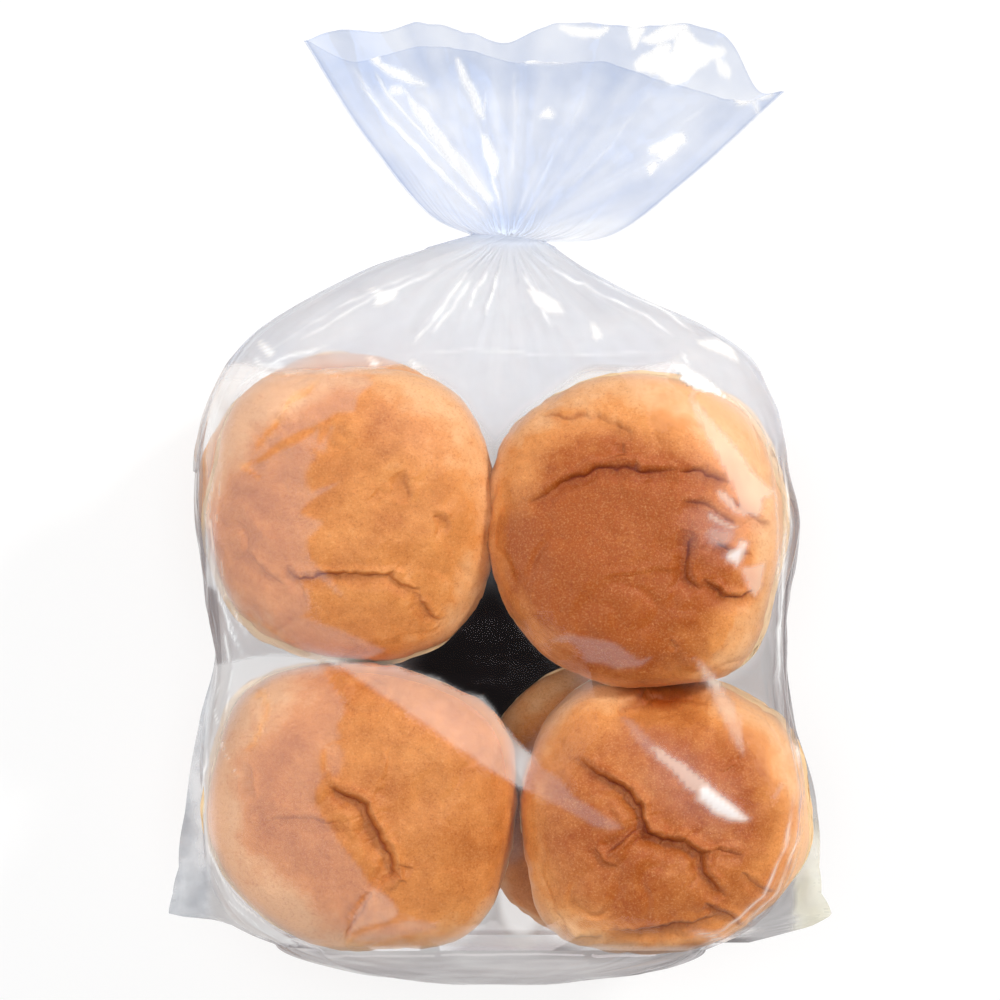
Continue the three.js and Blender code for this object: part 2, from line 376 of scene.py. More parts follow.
frontBuns = {
    "bunUpperLeft": {
        "at": (-50.6, -4.7), "radii": (48.6, 49.0), "turn": 0.2,
        "corners": [(45, 0.13, 28), (130, 0.13, 25), (228, 0.05, 25), (308, 0.10, 28)],
        "heelShift": (-1.8, -2.0), "bake": 0.2, "brownAt": (-2, -6), "seed": 3,
        "creases": [
            ([(-22, -18), (-17, -22.5), (-8, -20.5), (4, -21.5), (13.5, -20.5), (17, -23.5),
              (24.5, -26)], 1.8, 1.6),
            ([(24, -27), (23.5, -30), (30.5, -36.5)], 1.2, 1.4),
            ([(-37, -12), (-29.5, -18), (-23, -24.5)], 0.8, 1.6),
            ([(-45, 1.5), (-38, 0), (-30, -9)], 0.5, 2.2),
            ([(17.5, 14), (19, 4)], 1.1, 2.4),
            ([(9, 9), (12, 6)], 0.6, 2.0),
            ([(28.5, -1.5), (33.5, -2.5)], 1.0, 2.0),
        ],
    },
    "bunUpperRight": {
        "at": (46.0, -9.9), "radii": (51.1, 53.6), "turn": 1.1,
        "corners": [(43, 0.05, 20), (140, 0.04, 15), (309, 0.12, 18)], "lift": 3.0, "lean": (-0.05, -0.07),
        "heelShift": (2.4, 1.2), "heelBake": 0.45, "bake": 0.98, "brownAt": (-8, -7), "brownFrom": 0.55,
        "seed": 11,
        "creases": [
            ([(-36.5, 8.5), (-24, 16.5), (-15.5, 20), (-2.5, 21), (1.5, 19.5), (14.5, 19)], 2.0, 1.8),
            ([(14.5, 19), (23, 19.5), (31.5, 15.5)], 1.6, 2.0),
            ([(-34, 38.5), (-17, 39), (-8, 36.5), (0, 32)], 1.1, 1.8),
            ([(-4.5, 29.5), (-3, 24)], 0.7, 1.2),
            ([(19.5, 0), (18.5, -9), (17.5, -16), (22, -20.5)], 1.9, 2.0),
            ([(24, -16), (30, -22.5), (35, -24), (42, -22)], 1.9, 1.9),
            ([(15, 9.5), (24, 8), (35, 1)], 1.2, 2.0),
            ([(27, -5), (33, -9), (39.5, -9)], 1.3, 1.8),
            ([(32.5, 11), (37, 6), (46, 0.5)], 1.0, 1.6),
            ([(-12, -17.5), (2, -15.5), (16, -14)], 0.4, 2.0),
            ([(11, -38), (14, -40)], 0.6, 1.2),
        ],
    },
    "bunLowerLeft": {
        "at": (-47.3, -105.6), "radii": (52.5, 49.6), "turn": 2.3,
        "corners": [(35, 0.085, 22), (130, 0.12, 22), (228, -0.04, 20), (310, 0.10, 22)],
        "heelShift": (-2.4, 0.6), "heelBake": 0.5, "bake": 0.28, "brownAt": (8, 6), "seed": 23,
        "creases": [
            ([(-12.5, 9), (-5, 6.5), (1.5, 2), (5, -7), (10, -15.5), (11, -20.5), (4.5, -28)], 2.8, 2.1),
            ([(4.5, -28), (-1.5, -35.5), (-6.5, -46.5)], 1.1, 1.8),
            ([(-33.5, -3), (-18, -2.5), (-2.5, -3.5)], 0.7, 1.7),
            ([(-38.5, 17), (-37, 4)], 0.7, 1.6),
            ([(12, -18), (18, -20)], 0.8, 1.2),
            ([(4, 3.5), (9, 10), (10, 22)], 0.6, 1.8),
        ],
    },
    "bunLowerRight": {
        "at": (56.6, -107.4), "radii": (50.1, 47.6), "turn": 0.7,
        "corners": [(45, 0.02, 20), (128, 0.08, 22), (228, 0.14, 22), (312, -0.05, 20)],
        "lift": -0.5, "lean": (-0.04, -0.06), "dents": [((6, 54), 25, 11)],
        "heelShift": (1.5, 1.2), "bake": 0.74, "brownAt": (-3, -2), "brownFrom": 0.62, "seed": 31,
        # tuck is where the crown is painted with shadow under its neighbour: the place and its half sizes
        "tuck": ((-2, 44), (24, 8)),
        "creases": [
            ([(-31.5, 20), (-24.5, 15.5), (-14, 8.5), (-9.5, 3), (-7.5, -4.5), (-1, -8.5), (6, -9),
              (11.5, -13), (12.5, -19), (19.5, -28)], 3.0, 2.1),
            ([(11, -12), (19, -12), (26, -13)], 1.1, 1.8),
            ([(-9.5, -4), (-14.5, -7.5), (-21, -12)], 1.2, 1.6),
            ([(-25, -10), (-22.5, -15), (-17, -18)], 0.7, 1.2),
            ([(-20, -38.5), (-3, -38.5), (10, -37), (20, -35)], 1.7, 2.0),
            ([(12, -30), (16, -32.5), (20.5, -34), (24.5, -38)], 1.5, 1.8),
            ([(25.5, -19.5), (37, -26.5)], 0.9, 1.4),
            ([(-35, -36.5), (-30.5, -41.5), (-22, -40.5)], 0.9, 1.4),
            ([(-17, 36), (-11, 38), (-6, 42.5)], 1.2, 1.8),
            ([(-17, 36), (-3, 40.5), (15, 39.5)], 1.8, 3.6),
            ([(18, 14.5), (29, 22.5)], 0.6, 1.4),
        ],
    },
}

backBuns = {
    "bunUnderUpperLeft": {
        "at": (-54.5, 1.0), "radii": (50.5, 50.5), "turn": 0.9, "bake": 0.45, "seed": 41,
    },
    "bunUnderUpperRight": {
        "at": (49.5, -12.0), "radii": (50.0, 50.5), "turn": 1.9, "bake": 0.7, "seed": 43,
    },
    "bunUnderLowerLeft": {
        "at": (-56.5, -104.5), "radii": (46.5, 47.5), "turn": 0.4, "bake": 0.5, "seed": 47,
    },
    "bunUnderLowerRight": {
        "at": (40.0, -106.0), "radii": (50.0, 49.5), "turn": 2.7, "bake": 0.65, "seed": 53,
    },
}

sheetMiddle = bagMiddle[2]
skewed = np.array([[0.8, 0.36, 0.48], [-0.6, 0.48, 0.64], [0.0, -0.8, 0.6]])  # turns noise off its grid


def outline(bun, around):
    # how far the bun's outline stands out from an ellipse there
    turned = around + bun["turn"]
    share = 1 + 0.005 * np.cos(2 * turned) + 0.006 * np.cos(3 * turned + 1) + 0.005 * np.cos(5 * turned)
    for at, bulge, width in bun.get("corners", ()):
        apart = np.abs((np.degrees(around) - at + 180) % 360 - 180)
        share = share + bulge * np.exp(-((apart / width) ** 2))
    return share


def domeReach(bun, x, y):
    # how far out a place is, as a share of the bun's radius there
    dx, dy = x - bun["at"][0], y - bun["at"][1]
    return np.hypot(dx / bun["radii"][0], dy / bun["radii"][1]) / outline(bun, np.arctan2(dy, dx))


def domeHeight(bun, x, y, spare=0.0):
    # height of the crown's smooth dome above the layer's base; no lower than its widest place
    reach = domeReach(bun, x, y) / (1 + spare / 50)
    power = bunLook["domePower"]
    rise = np.clip(1 - np.clip(reach, 0, 1) ** power, 0, 1) ** (1 / power)
    return bunLook["widest"] + (bunLook["height"] - bunLook["widest"] + spare) * rise + settle(bun, x, y)


def settle(bun, x, y):
    # how much a bun's place in the bag lifts it there
    lean = bun.get("lean", (0, 0))
    return bun.get("lift", 0) + lean[0] * (x - bun["at"][0]) + lean[1] * (y - bun["at"][1])


def pressBall(bun, ball, isCrown):
    # a unit ball pressed into a low dome over a rounder base: the places, and which way is out
    radial = np.hypot(ball[:, 0], ball[:, 1])
    crowding = 0.84 if isCrown else 1.12  # more of the ball's points go to the side that shows
    polar = np.pi * (np.arctan2(radial, ball[:, 2]) / np.pi) ** (1 / crowding)
    around = np.arctan2(ball[:, 1], ball[:, 0])
    flatX, flatZ = np.sin(polar), np.cos(polar)
    upward = flatZ > 0
    power = np.where(upward, bunLook["domePower"], bunLook["basePower"])
    reach = (np.abs(flatX) ** power + np.abs(flatZ) ** power) ** (-1 / power)
    wobble = outline(bun, around)
    x = bun["radii"][0] * wobble * flatX * reach * np.cos(around)
    y = bun["radii"][1] * wobble * flatX * reach * np.sin(around)
    height = np.where(upward, bunLook["height"] - bunLook["widest"], bunLook["widest"])
    points = np.stack([x, y, bunLook["widest"] + height * flatZ * reach], axis=-1)
    outward = np.stack([flatX * np.cos(around), flatX * np.sin(around), flatZ * 1.6], axis=-1)
    return points, outward / np.linalg.norm(outward, axis=-1, keepdims=True)


def creaseWander(bun, points):
    # creases are never quite straight
    flat = points[:, :2]
    x = points[:, 0] + 0.9 * lumps(flat, 6, bun["seed"] + 5) + 0.5 * lumps(flat, 2.2, bun["seed"] + 15)
    y = points[:, 1] + 0.9 * lumps(flat, 6, bun["seed"] + 6) + 0.5 * lumps(flat, 2.2, bun["seed"] + 16)
    return x, y


def makeCrust(name, bun, isCrown, detail, down):
    # one half of a sliced bun, cut flat along the slice
    bpy.ops.object.select_all(action="DESELECT")
    bpy.ops.mesh.primitive_ico_sphere_add(subdivisions=detail, radius=1)
    piece = bpy.context.object
    piece.name = name
    piece.data.name = name
    creases = bun.get("creases", []) if isCrown else []
    for reach in bunLook["creaseMesh"] if creases else ():
        refineNear(piece, bun, creases, reach)
    points, outward = pressBall(bun, getPoints(piece), isCrown)
    x, y, z = points.T

    swell = 0.8 * lumps(points, 26, bun["seed"]) + 0.95 * lumps(points @ skewed, 13, bun["seed"] + 1)
    turned = points @ skewed
    ruck = np.abs(lumps(points, 13, bun["seed"] + 2) + 0.8 * lumps(turned, 9, bun["seed"] + 21))
    deep = smooth(-0.2, 0.7, lumps(turned, 24, bun["seed"] + 22))
    swell += (0.25 + 0.7 * deep) * (np.minimum(ruck * 2.6, 1) - 1)
    fine = 0.15 * lumps(points, 2.6, bun["seed"] + 3)
    swell += 0.5 * lumps(turned, 6, bun["seed"] + 4) * (0.4 + deep) + fine
    creaseShade = np.zeros(len(points))
    shadow = np.zeros(len(points))
    wanderX, wanderY = creaseWander(bun, points)
    for line, depth, width in creases:
        gap, share, offset = alongLine(wanderX, wanderY, line)
        ends = np.clip(np.minimum(share, 1 - share) * 5, 0, 1) ** 0.6 * (z > bunLook["widest"])
        groove = np.exp(-((gap / (width * 0.28)) ** 2)) * ends
        near = np.exp(-((gap / (width * 4)) ** 2)) * ends
        lip = np.exp(-(((offset - width * 1.0) / (width * 0.8)) ** 2)) * near
        hollow = np.exp(-(((offset + width * 1.0) / (width * 1.5)) ** 2)) * near
        swell += depth * (0.6 * lip - 0.3 * groove - 0.9 * hollow)
        # painted shade: the groove is marked for darkening, more in some places than others, and the hollow
        # beside it too
        dark = mix(0.35, 1, smooth(-0.5, 0.4, lumps(points, 7, bun["seed"] + 18)))
        creaseShade = np.maximum(creaseShade, groove * dark * smooth(0.5, 1.5, depth))
        shadow = np.maximum(shadow, hollow * min(depth / 2, 1))
        # the skin puckers in short wrinkles across each crease
        across = np.stack([share * 60, offset * 0.25], axis=-1)
        pucker = np.abs(lumps(across, 3.0, bun["seed"] + 17))
        swell -= 0.10 * depth * near * (1 - np.minimum(pucker * 3, 1))
    points = points + outward * np.minimum(swell, 1.7)[:, None]

    cut = bunLook["slice"] + (bunLook["sliceGap"] / 2 if isCrown else -bunLook["sliceGap"] / 2)
    roughEdge = 0.5 * lumps(points, 3.2, bun["seed"] + 8) + 0.25 * lumps(points, 1.4, bun["seed"] + 9)
    level = cut + roughEdge * (0.5 if isCrown else -0.5)
    past = points[:, 2] < level if isCrown else points[:, 2] > level
    points[:, 2] = np.where(past, level, points[:, 2])

    # bake: 0 at the pale sides to 1 where the top browned most
    uneven = 0.09 * lumps(points, 30, bun["seed"] + 12) + 0.06 * lumps(points, 9, bun["seed"] + 13)
    if isCrown:
        brownX, brownY = bun.get("brownAt", (0, 0))
        out = np.hypot((x - brownX) / bun["radii"][0], (y - brownY) / bun["radii"][1])
        side = (z - bunLook["slice"]) / (bunLook["widest"] - bunLook["slice"] + 9)
        bake = smooth(1.16, bun.get("brownFrom", 0.74), out + uneven) * smooth(-0.1, 1.0, side)
    else:
        bake = np.maximum(0.85 * smooth(0.8, 0.1, points[:, 2] / bunLook["slice"] + uneven), 0.3)
        upper = smooth(-10, 20, y) * bun.get("heelBake", 0)
        bake = np.maximum(bake, upper * (1 + 0.6 * lumps(points, 4, bun["seed"] + 19)))
        points[:, :2] *= 1 + 0.022 * upper[:, None] * lumps(points, 4.5, bun["seed"] + 20)[:, None]
        points[:, :2] += np.array(bun.get("heelShift", (0, 0)))
    for at, width, depth in bun.get("dents", ()):
        near = np.exp(-(((x - at[0]) / width) ** 2) - (((y - at[1]) / width) ** 2))
        points[:, 2] -= depth * near * smooth(0, bunLook["widest"], points[:, 2])
    points[:, 2] += settle(bun, points[:, 0] + bun["at"][0], points[:, 1] + bun["at"][1])
    points[:, 2] = np.maximum(points[:, 2], 0)
    if isCrown and "tuck" in bun:
        # painted shadow: the skin is darkened where the neighbour rests on it
        at, reach = bun["tuck"]
        ragged = 0.2 * lumps(points, 9, bun["seed"] + 23)
        close = np.hypot((x - at[0]) / reach[0], (y - at[1]) / reach[1]) + ragged
        creaseShade = np.maximum(creaseShade, 1.25 * smooth(1.1, 0.3, close))
    paint(piece, "bake", bake)
    paint(piece, "creaseShade", creaseShade)
    paint(piece, "shadow", shadow)
    paint(piece, "cut", past.astype(float))

    if down:
        points[:, 2] *= -1
        points[:, 0] *= -1
    points[:, 0] += bun["at"][0]
    points[:, 1] += bun["at"][1]
    points[:, 2] += sheetMiddle
    setPoints(piece, points * mm)
    piece.data.shade_smooth()
    return piece


def refineNear(piece, bun, creases, reach):
    # a finer mesh along the creases, so that they can be narrow
    points, outward = pressBall(bun, getPoints(piece), True)
    wanderX, wanderY = creaseWander(bun, points)
    gaps = [alongLine(wanderX, wanderY, line)[0] for line, depth, width in creases]
    near = (np.min(gaps, axis=0) < reach) & (points[:, 2] > bunLook["widest"])
    corners = np.zeros(len(piece.data.polygons) * 3, int)
    piece.data.polygons.foreach_get("vertices", corners)
    chosen = near[corners.reshape(-1, 3)].any(axis=1)
    bpy.ops.object.mode_set(mode="EDIT")
    bpy.ops.mesh.select_mode(type="FACE")
    bpy.ops.mesh.select_all(action="DESELECT")
    bpy.ops.object.mode_set(mode="OBJECT")
    piece.data.polygons.foreach_set("select", chosen)
    bpy.ops.object.mode_set(mode="EDIT")
    bpy.ops.mesh.subdivide(number_cuts=1)
    bpy.ops.mesh.quads_convert_to_tris()
    bpy.ops.mesh.select_all(action="SELECT")
    bpy.ops.mesh.quads_convert_to_tris()
    bpy.ops.object.mode_set(mode="OBJECT")


def newMaterial(name):
    material = bpy.data.materials.new(name)
    material.use_nodes = True
    tree = material.node_tree
    return material, tree, tree.nodes["Principled BSDF"]


crustColours = {
    "rim": srgb(246, 188, 134),
    "gold": srgb(229, 148, 78),
    "brown": srgb(171, 82, 16),
    "grain": srgb(255, 204, 136),
    "pore": srgb(205, 150, 105),
    # the colour multiplied over creases and their hollows as painted shade
    "creaseShade": srgb(172, 121, 72),
    "crumb": srgb(252, 222, 176),
}


def crustMaterial(name, bakeLevel):
    # baked crust: pale at the sides, golden to brown on top, finely speckled
    material, tree, shader = newMaterial(name)
    bake = addNode(tree, "ShaderNodeAttribute", attribute_name="bake").outputs["Fac"]
    cut = addNode(tree, "ShaderNodeAttribute", attribute_name="cut").outputs["Fac"]
    creaseShade = addNode(tree, "ShaderNodeAttribute", attribute_name="creaseShade").outputs["Fac"]
    place = addNode(tree, "ShaderNodeTexCoord").outputs["Object"]
    cloud = addNode(tree, "ShaderNodeTexNoise", Vector=place, Scale=55.0, Detail=4.0, Roughness=0.6)
    blotch = addNode(tree, "ShaderNodeTexNoise", Vector=place, Scale=210.0, Detail=3.0, Roughness=0.6)
    speckle = addNode(tree, "ShaderNodeTexNoise", Vector=place, Scale=1500.0, Detail=3.0, Roughness=0.7)
    level = math2(tree, "MULTIPLY", bake, 0.42 + 0.6 * bakeLevel)
    for noise, share in ((cloud, 0.75), (blotch, 0.42)):
        drift = math2(tree, "MULTIPLY", math2(tree, "SUBTRACT", noise.outputs["Fac"], 0.5), share)
        level = math2(tree, "ADD", level, drift, clamp=True)
    ramp = tree.nodes.new("ShaderNodeValToRGB")
    ramp.color_ramp.elements[0].color = crustColours["rim"]
    ramp.color_ramp.elements[1].color = crustColours["brown"]
    ramp.color_ramp.elements[0].position = 0.08
    ramp.color_ramp.elements[1].position = 0.95
    middle = ramp.color_ramp.elements.new(0.42)
    middle.color = crustColours["gold"]
    tree.links.new(level, ramp.inputs["Fac"])
    # fine pale grains all over the crust
    grain = rescale(tree, speckle.outputs["Fac"], From_Min=0.5, From_Max=0.8, To_Max=0.36)
    dusted = mixColour(tree, grain, ramp.outputs["Color"], crustColours["grain"])
    # and fine brown pores between them
    pore = addNode(tree, "ShaderNodeTexNoise", Vector=place, Scale=1150.0, Detail=2.0, Roughness=0.7)
    hole = rescale(tree, pore.outputs["Fac"], From_Min=0.52, From_Max=0.75, To_Max=0.5)
    pitted = mixColour(tree, hole, dusted, crustColours["pore"], "MULTIPLY")
    # painted shade: creases and the hollows beside them are darkened in the colour
    shadow = addNode(tree, "ShaderNodeAttribute", attribute_name="shadow").outputs["Fac"]
    depth = math2(tree, "MULTIPLY", creaseShade, 0.75)
    depth = math2(tree, "ADD", depth, math2(tree, "MULTIPLY", shadow, 0.3), clamp=True)
    shaded = mixColour(tree, depth, pitted, crustColours["creaseShade"], "MULTIPLY")
    colour = mixColour(tree, cut, shaded, crustColours["crumb"])
    tree.links.new(colour, shader.inputs["Base Color"])
    shader.inputs["Roughness"].default_value = 0.4
    shader.inputs["Specular IOR Level"].default_value = 0.4
    pores = addNode(tree, "ShaderNodeTexNoise", Vector=place, Scale=700.0, Detail=3.0, Roughness=0.65)
    bump = addNode(tree, "ShaderNodeBump", Height=pores.outputs["Fac"], Strength=0.5, Distance=0.0005)
    tree.links.new(bump.outputs["Normal"], shader.inputs["Normal"])
    return material


def filmMaterial():
    # thin clear film: see-through face on, brighter at a slant, with a blue cast where it is loose
    material, tree, shader = newMaterial("clearFilm")
    haze = addNode(tree, "ShaderNodeAttribute", attribute_name="haze").outputs["Fac"]
    tint = addNode(tree, "ShaderNodeAttribute", attribute_name="tint").outputs["Color"]
    shine = addNode(tree, "ShaderNodeAttribute", attribute_name="shine").outputs["Fac"]
    facing = addNode(tree, "ShaderNodeLayerWeight", Blend=0.5).outputs["Facing"]
    edge = math2(tree, "MULTIPLY", math2(tree, "POWER", facing, 3.4), 0.6)
    alpha = math2(tree, "ADD", haze, edge, clamp=True)
    tree.links.new(alpha, shader.inputs["Alpha"])
    tree.links.new(tint, shader.inputs["Base Color"])
    tree.links.new(shine, shader.inputs["Metallic"])
    shader.inputs["IOR"].default_value = 1.7
    shader.inputs["Specular IOR Level"].default_value = 0.15
    shader.inputs["Roughness"].default_value = 0.055
    return material


filmLook = {
    "across": 276, "bodyStep": 1.0, "topRows": 92, "earColumns": 9, "seamGap": 0.25,
    "clearance": 2.3, "gapSag": 14.0, "bottomEdge": -153.0, "bottomBulge": 14.0,
    "neckRadius": 9.5, "neck": (2.8, 92.0), "bodyTop": 87.5, "nearer": 1.02,
    # paintedShadeGrey is painted shade on the loose film low on the bag and on its bottom panel
    "clear": (0.84, 0.87, 0.92), "paintedShadeGrey": (0.33, 0.30, 0.31), "blue": (0.17, 0.30, 0.62),
    # white, warm and mauve are the colours of the painted glints, glare and reflections
    "milk": (0.66, 0.69, 0.76), "white": (1, 1, 1), "warm": (0.99, 0.87, 0.79),
    "mauve": (0.62, 0.55, 0.60), "pearl": (0.56, 0.58, 0.62),
    # dark is painted shade on the film over the gap between the front buns
    "cream": (0.74, 0.73, 0.62), "dark": (0.05, 0.04, 0.045),
}

halfThickness = through([
    (-153, 36), (-147, 40.5), (-136, 44), (-116, 46), (16, 46), (38, 44), (50, 41), (60, 36.5),
    (69, 31), (77, 24.5), (83, 18.5), (87, 13),
])
squareness = through([(-153, 3.1), (-120, 3.9), (-57, 4.1), (10, 3.9), (60, 2.6), (87, 2)])
leftSide = through([
    (-153, -77), (-146, -89), (-137, -96.5), (-125, -100.5), (-100, -102.5), (-75, -101),
    (-55, -97.5), (-35, -100), (0, -104), (17, -103.5), (29.5, -101), (39.7, -97), (50, -91),
    (58.7, -83), (66.6, -71), (74.2, -57), (82, -40), (87, -24),
])
rightSide = through([
    (-153, 69), (-148, 80), (-142, 88), (-133, 95), (-120, 100), (-105, 102.5), (-75, 99.5),
    (-55, 98), (-32, 98.5), (-7, 102), (8, 98.5), (22, 96.5), (38, 91), (50, 83.5), (62, 65),
    (69.7, 47.5), (79, 30), (87, 18),
])
leftEar = straight([
    (-153, 2), (-151, 4), (-146.5, 5), (-145, 9), (-143.4, 22.6), (-136, 16), (-127, 11),
    (-108, 6.5), (-80, 3), (-52, 0.8),
])
rightEar = straight([
    (-153, 17), (-147.5, 26), (-143.4, 28.3), (-136, 18), (-127, 12.5), (-108, 7.5), (-80, 2.4),
    (-56, 0.8),
])
# the flared top's side edges: how far across and how far up, from the neck (0) to the lip (1)
topLeft = (
    through([(0, -8), (0.22, -23), (0.52, -44), (1, -67.6)]),
    through([(0, 91), (0.22, 98), (0.52, 123), (1, 160)]),
)
topRight = (
    through([(0, 13.5), (0.28, 38), (0.58, 64), (1, 98.3)]),
    through([(0, 89), (0.28, 91.6), (0.58, 111), (1, 142.3)]),
)
backLip = through([
    (0, 0), (0.05, 0.5), (0.1, 15.5), (0.18, 21.4), (0.32, 18.2), (0.5, 15.6), (0.58, 8.5),
    (0.66, 10.2), (0.75, 11.2), (0.85, 6.6), (0.95, 5), (1, 0),
])
frontLip = through([
    (0, 0), (0.09, -5.7), (0.23, -3), (0.41, 2.3), (0.57, -1), (0.65, 2.2), (0.8, -0.6),
    (0.91, -6), (1, 0),
])


def bodySheet():
    # one sheet of the filled body, as heights above the bag's middle: rows along the bag, right to left
    rows = int(round((filmLook["bodyTop"] - filmLook["bottomEdge"]) / filmLook["bodyStep"]))
    y = np.linspace(filmLook["bottomEdge"], filmLook["bodyTop"], rows)[:, None]
    step = np.linspace(0, 1, filmLook["across"])[None, :]
    angle = np.pi * step - 0.09 * np.sin(4 * np.pi * step)
    power = squareness(y)
    reach = (np.abs(np.cos(angle)) ** power + np.sin(angle) ** power) ** (-1 / power)
    middle = (leftSide(y) + rightSide(y)) / 2
    half = (rightSide(y) - leftSide(y)) / 2
    x = middle + half * reach * np.cos(angle)
    rise = reach * np.sin(angle)
    z = halfThickness(y) * rise
    y = np.broadcast_to(y, x.shape)
    return x, y, z, rise, angle + 0 * x


def tautFilm(x, y, z, rise, buns):
    # the film is pulled straight between the buns' domes and lies against their tops
    domes = np.max([domeHeight(bun, x, y, filmLook["clearance"]) for bun in buns.values()], axis=0)
    inside = np.min([domeReach(bun, x, y) for bun in buns.values()], axis=0) < 1.0
    lowest = np.where(inside, domes, 0)
    free = np.clip(rise * 3, 0, 1)[1:-1, 1:-1]
    low = z * 0.86
    for sweep in range(500):
        around = (z[2:, 1:-1] + z[:-2, 1:-1] + z[1:-1, 2:] + z[1:-1, :-2]) / 4
        core = z[1:-1, 1:-1]
        z[1:-1, 1:-1] = np.maximum(core + free * (around - core), low[1:-1, 1:-1])
        z = np.maximum(z, lowest)
    # where four buns meet the film sags into the gap
    sag = filmLook["gapSag"] * smooth(45, 4, np.hypot(x + 5, y + 72))
    return np.maximum(z - sag, lowest)


# Folds in the front sheet: the line each runs along, how high it stands, and how far it slopes
# away on the line's left and on its right, looking along it.
frontFolds = [
    ([(-38.6, 38), (-49.3, 33), (-56.9, 24), (-63.5, 12), (-68.7, -4), (-66.2, -13), (-61.1, -24.5),
      (-65.2, -38), (-62, -46)], 1.7, 26, 13),
    ([(-90.7, 11.4), (-74, 21), (-56.2, 29)], 1.4, 4, 3.5),
    ([(-84.5, 17), (-74, 29), (-63.5, 40.7)], 0.5, 1.8, 1.5),
    ([(-65, -40.4), (-48.6, -45.5), (-37, -52)], 1.0, 9, 10),
    ([(-62.1, -54.9), (-53.1, -71.8), (-61.1, -84.2), (-63.5, -100.4), (-54.5, -113.5), (-46.6, -128),
      (-50.7, -141.8), (-53.8, -152)], 1.7, 24, 13),
    ([(-66, -48), (-36.2, -71.5), (-6.9, -93.8), (9, -103)], 1.6, 20, 8),
    ([(4, -76), (10.4, -81), (27, -96), (45, -113)], 1.4, 12, 14),
    ([(66.8, 36.7), (80.7, 7.4), (91, -7.6), (96, -20)], 1.4, 9, 14),
    ([(60.4, 46.6), (68.8, 39), (78.3, 36.7)], 1.8, 6, 6),
    ([(46, -79), (56, -88), (66, -97), (77, -105), (86, -110)], 1.9, 5.5, 9),
    ([(67, -96), (74, -101), (84, -108)], 0.8, 5, 4),
    ([(14, -47.5), (28.3, -45.6), (40, -49.7), (48, -55.5)], 2.6, 12, 7),
    ([(66.6, -54.5), (74.5, -66.6), (82.5, -88)], 1.2, 8, 6),
    ([(-86, 44), (-60, 45), (-35, 44)], 0.9, 6, 6),
    ([(-34, 60), (0, 62), (51, 58)], 0.8, 6, 6),
    ([(-12, 47), (30, 49), (69, 50)], 0.7, 6, 6),
    ([(25.5, 81), (42, 71), (60.4, 59.3)], 1.7, 5, 6),
    ([(65.5, 62.4), (74, 57), (82.5, 52)], 1.4, 5, 6),
    ([(-11, 80), (-20, 68), (-30.4, 53.5)], 1.3, 4, 4),
    ([(-2, 82), (-10, 72), (-19, 61)], 1.1, 3.5, 3.5),
    ([(0, 80.4), (-1, 72), (-5.2, 63.5)], 1.1, 3.5, 3.5),
    ([(9, 80), (12, 68), (20, 56)], 1.0, 4, 4),
    ([(-50, 73), (-42, 72), (-34, 66)], 1.2, 5, 5),
    ([(-78, 56), (-62, 58), (-40, 64)], 0.9, 6, 6),
    ([(-22, -50), (-4, -53), (16, -50)], 0.7, 4, 4),
    ([(-14, -60), (4, -60), (24, -63)], 0.7, 4, 4),
    ([(-10, -68), (6, -70), (18, -69)], 0.5, 3.5, 3.5),
]


def foldsOver(x, y, folds):
    relief = np.zeros(x.shape)
    for line, height, leftWidth, rightWidth in folds:
        gap, share, offset = alongLine(x, y, line)
        ends = np.clip(np.minimum(share, 1 - share) * 7, 0, 1)
        width = np.where(offset > 0, leftWidth, rightWidth)
        relief += height * ends * np.clip(1 - gap / width, 0, 1)
    return relief


def sideFolds(turn, y, side):
    # long folds that run down the bag's walls; turn is how far round the wall a place is
    bent = turn + 2.2 * lumps(np.stack([turn * 0.02, y / 40], axis=-1), 1, 95 + side)
    folds = 1.8 * facets(bent, y * 0.12, 8, 91 + side) + 1.1 * facets(bent, y * 0.2, 4.5, 93 + side)
    return folds + 0.5 * facets(bent, y, 9, 97 + side)


def bodyRelief(x, y, rise, angle, side):
    # folds that fan out from the neck, and the crumple of thin film
    dx, dy = x - filmLook["neck"][0], y - filmLook["neck"][1]
    away = np.hypot(dx, dy)
    direction = np.arctan2(dx, -dy)
    near = np.clip(1 - (away - 8) / 66, 0, 1)
    relief = np.zeros(x.shape)
    for seed, count, size in ((5, 11, 0.5), (9, 25, 0.7), (13, 51, 0.5)):
        both = np.stack([direction * 6, away / 22], axis=-1)
        waves = direction * count + 1.5 * lumps(both, 1, seed + side)
        folds = 1 - 2 * np.abs(np.sin(waves / 2)) ** 0.8
        relief += size * folds * near ** (0.7 + count / 25)
    relief *= smooth(2, 16, away)
    calm = smooth(0.1, 0.5, rise)
    relief += calm * (0.3 * facets(x, y * 0.8, 27, 21 + side) + 0.12 * facets(x, y, 10, 27 + side))
    relief += calm * 0.07 * facets(x, y, 4.5, 29 + side)
    if side > 0:
        flat = np.stack([x, y], axis=-1)
        relief += foldsOver(x + 0.8 * lumps(flat, 14, 77), y + 0.8 * lumps(flat, 14, 78), frontFolds)
    streaks = facets(angle * 70, y * 0.22, 7, 83 + side)
    relief += 1.1 * streaks * smooth(0.75, 0.45, rise)
    return relief * smooth(0.02, 0.2, rise)


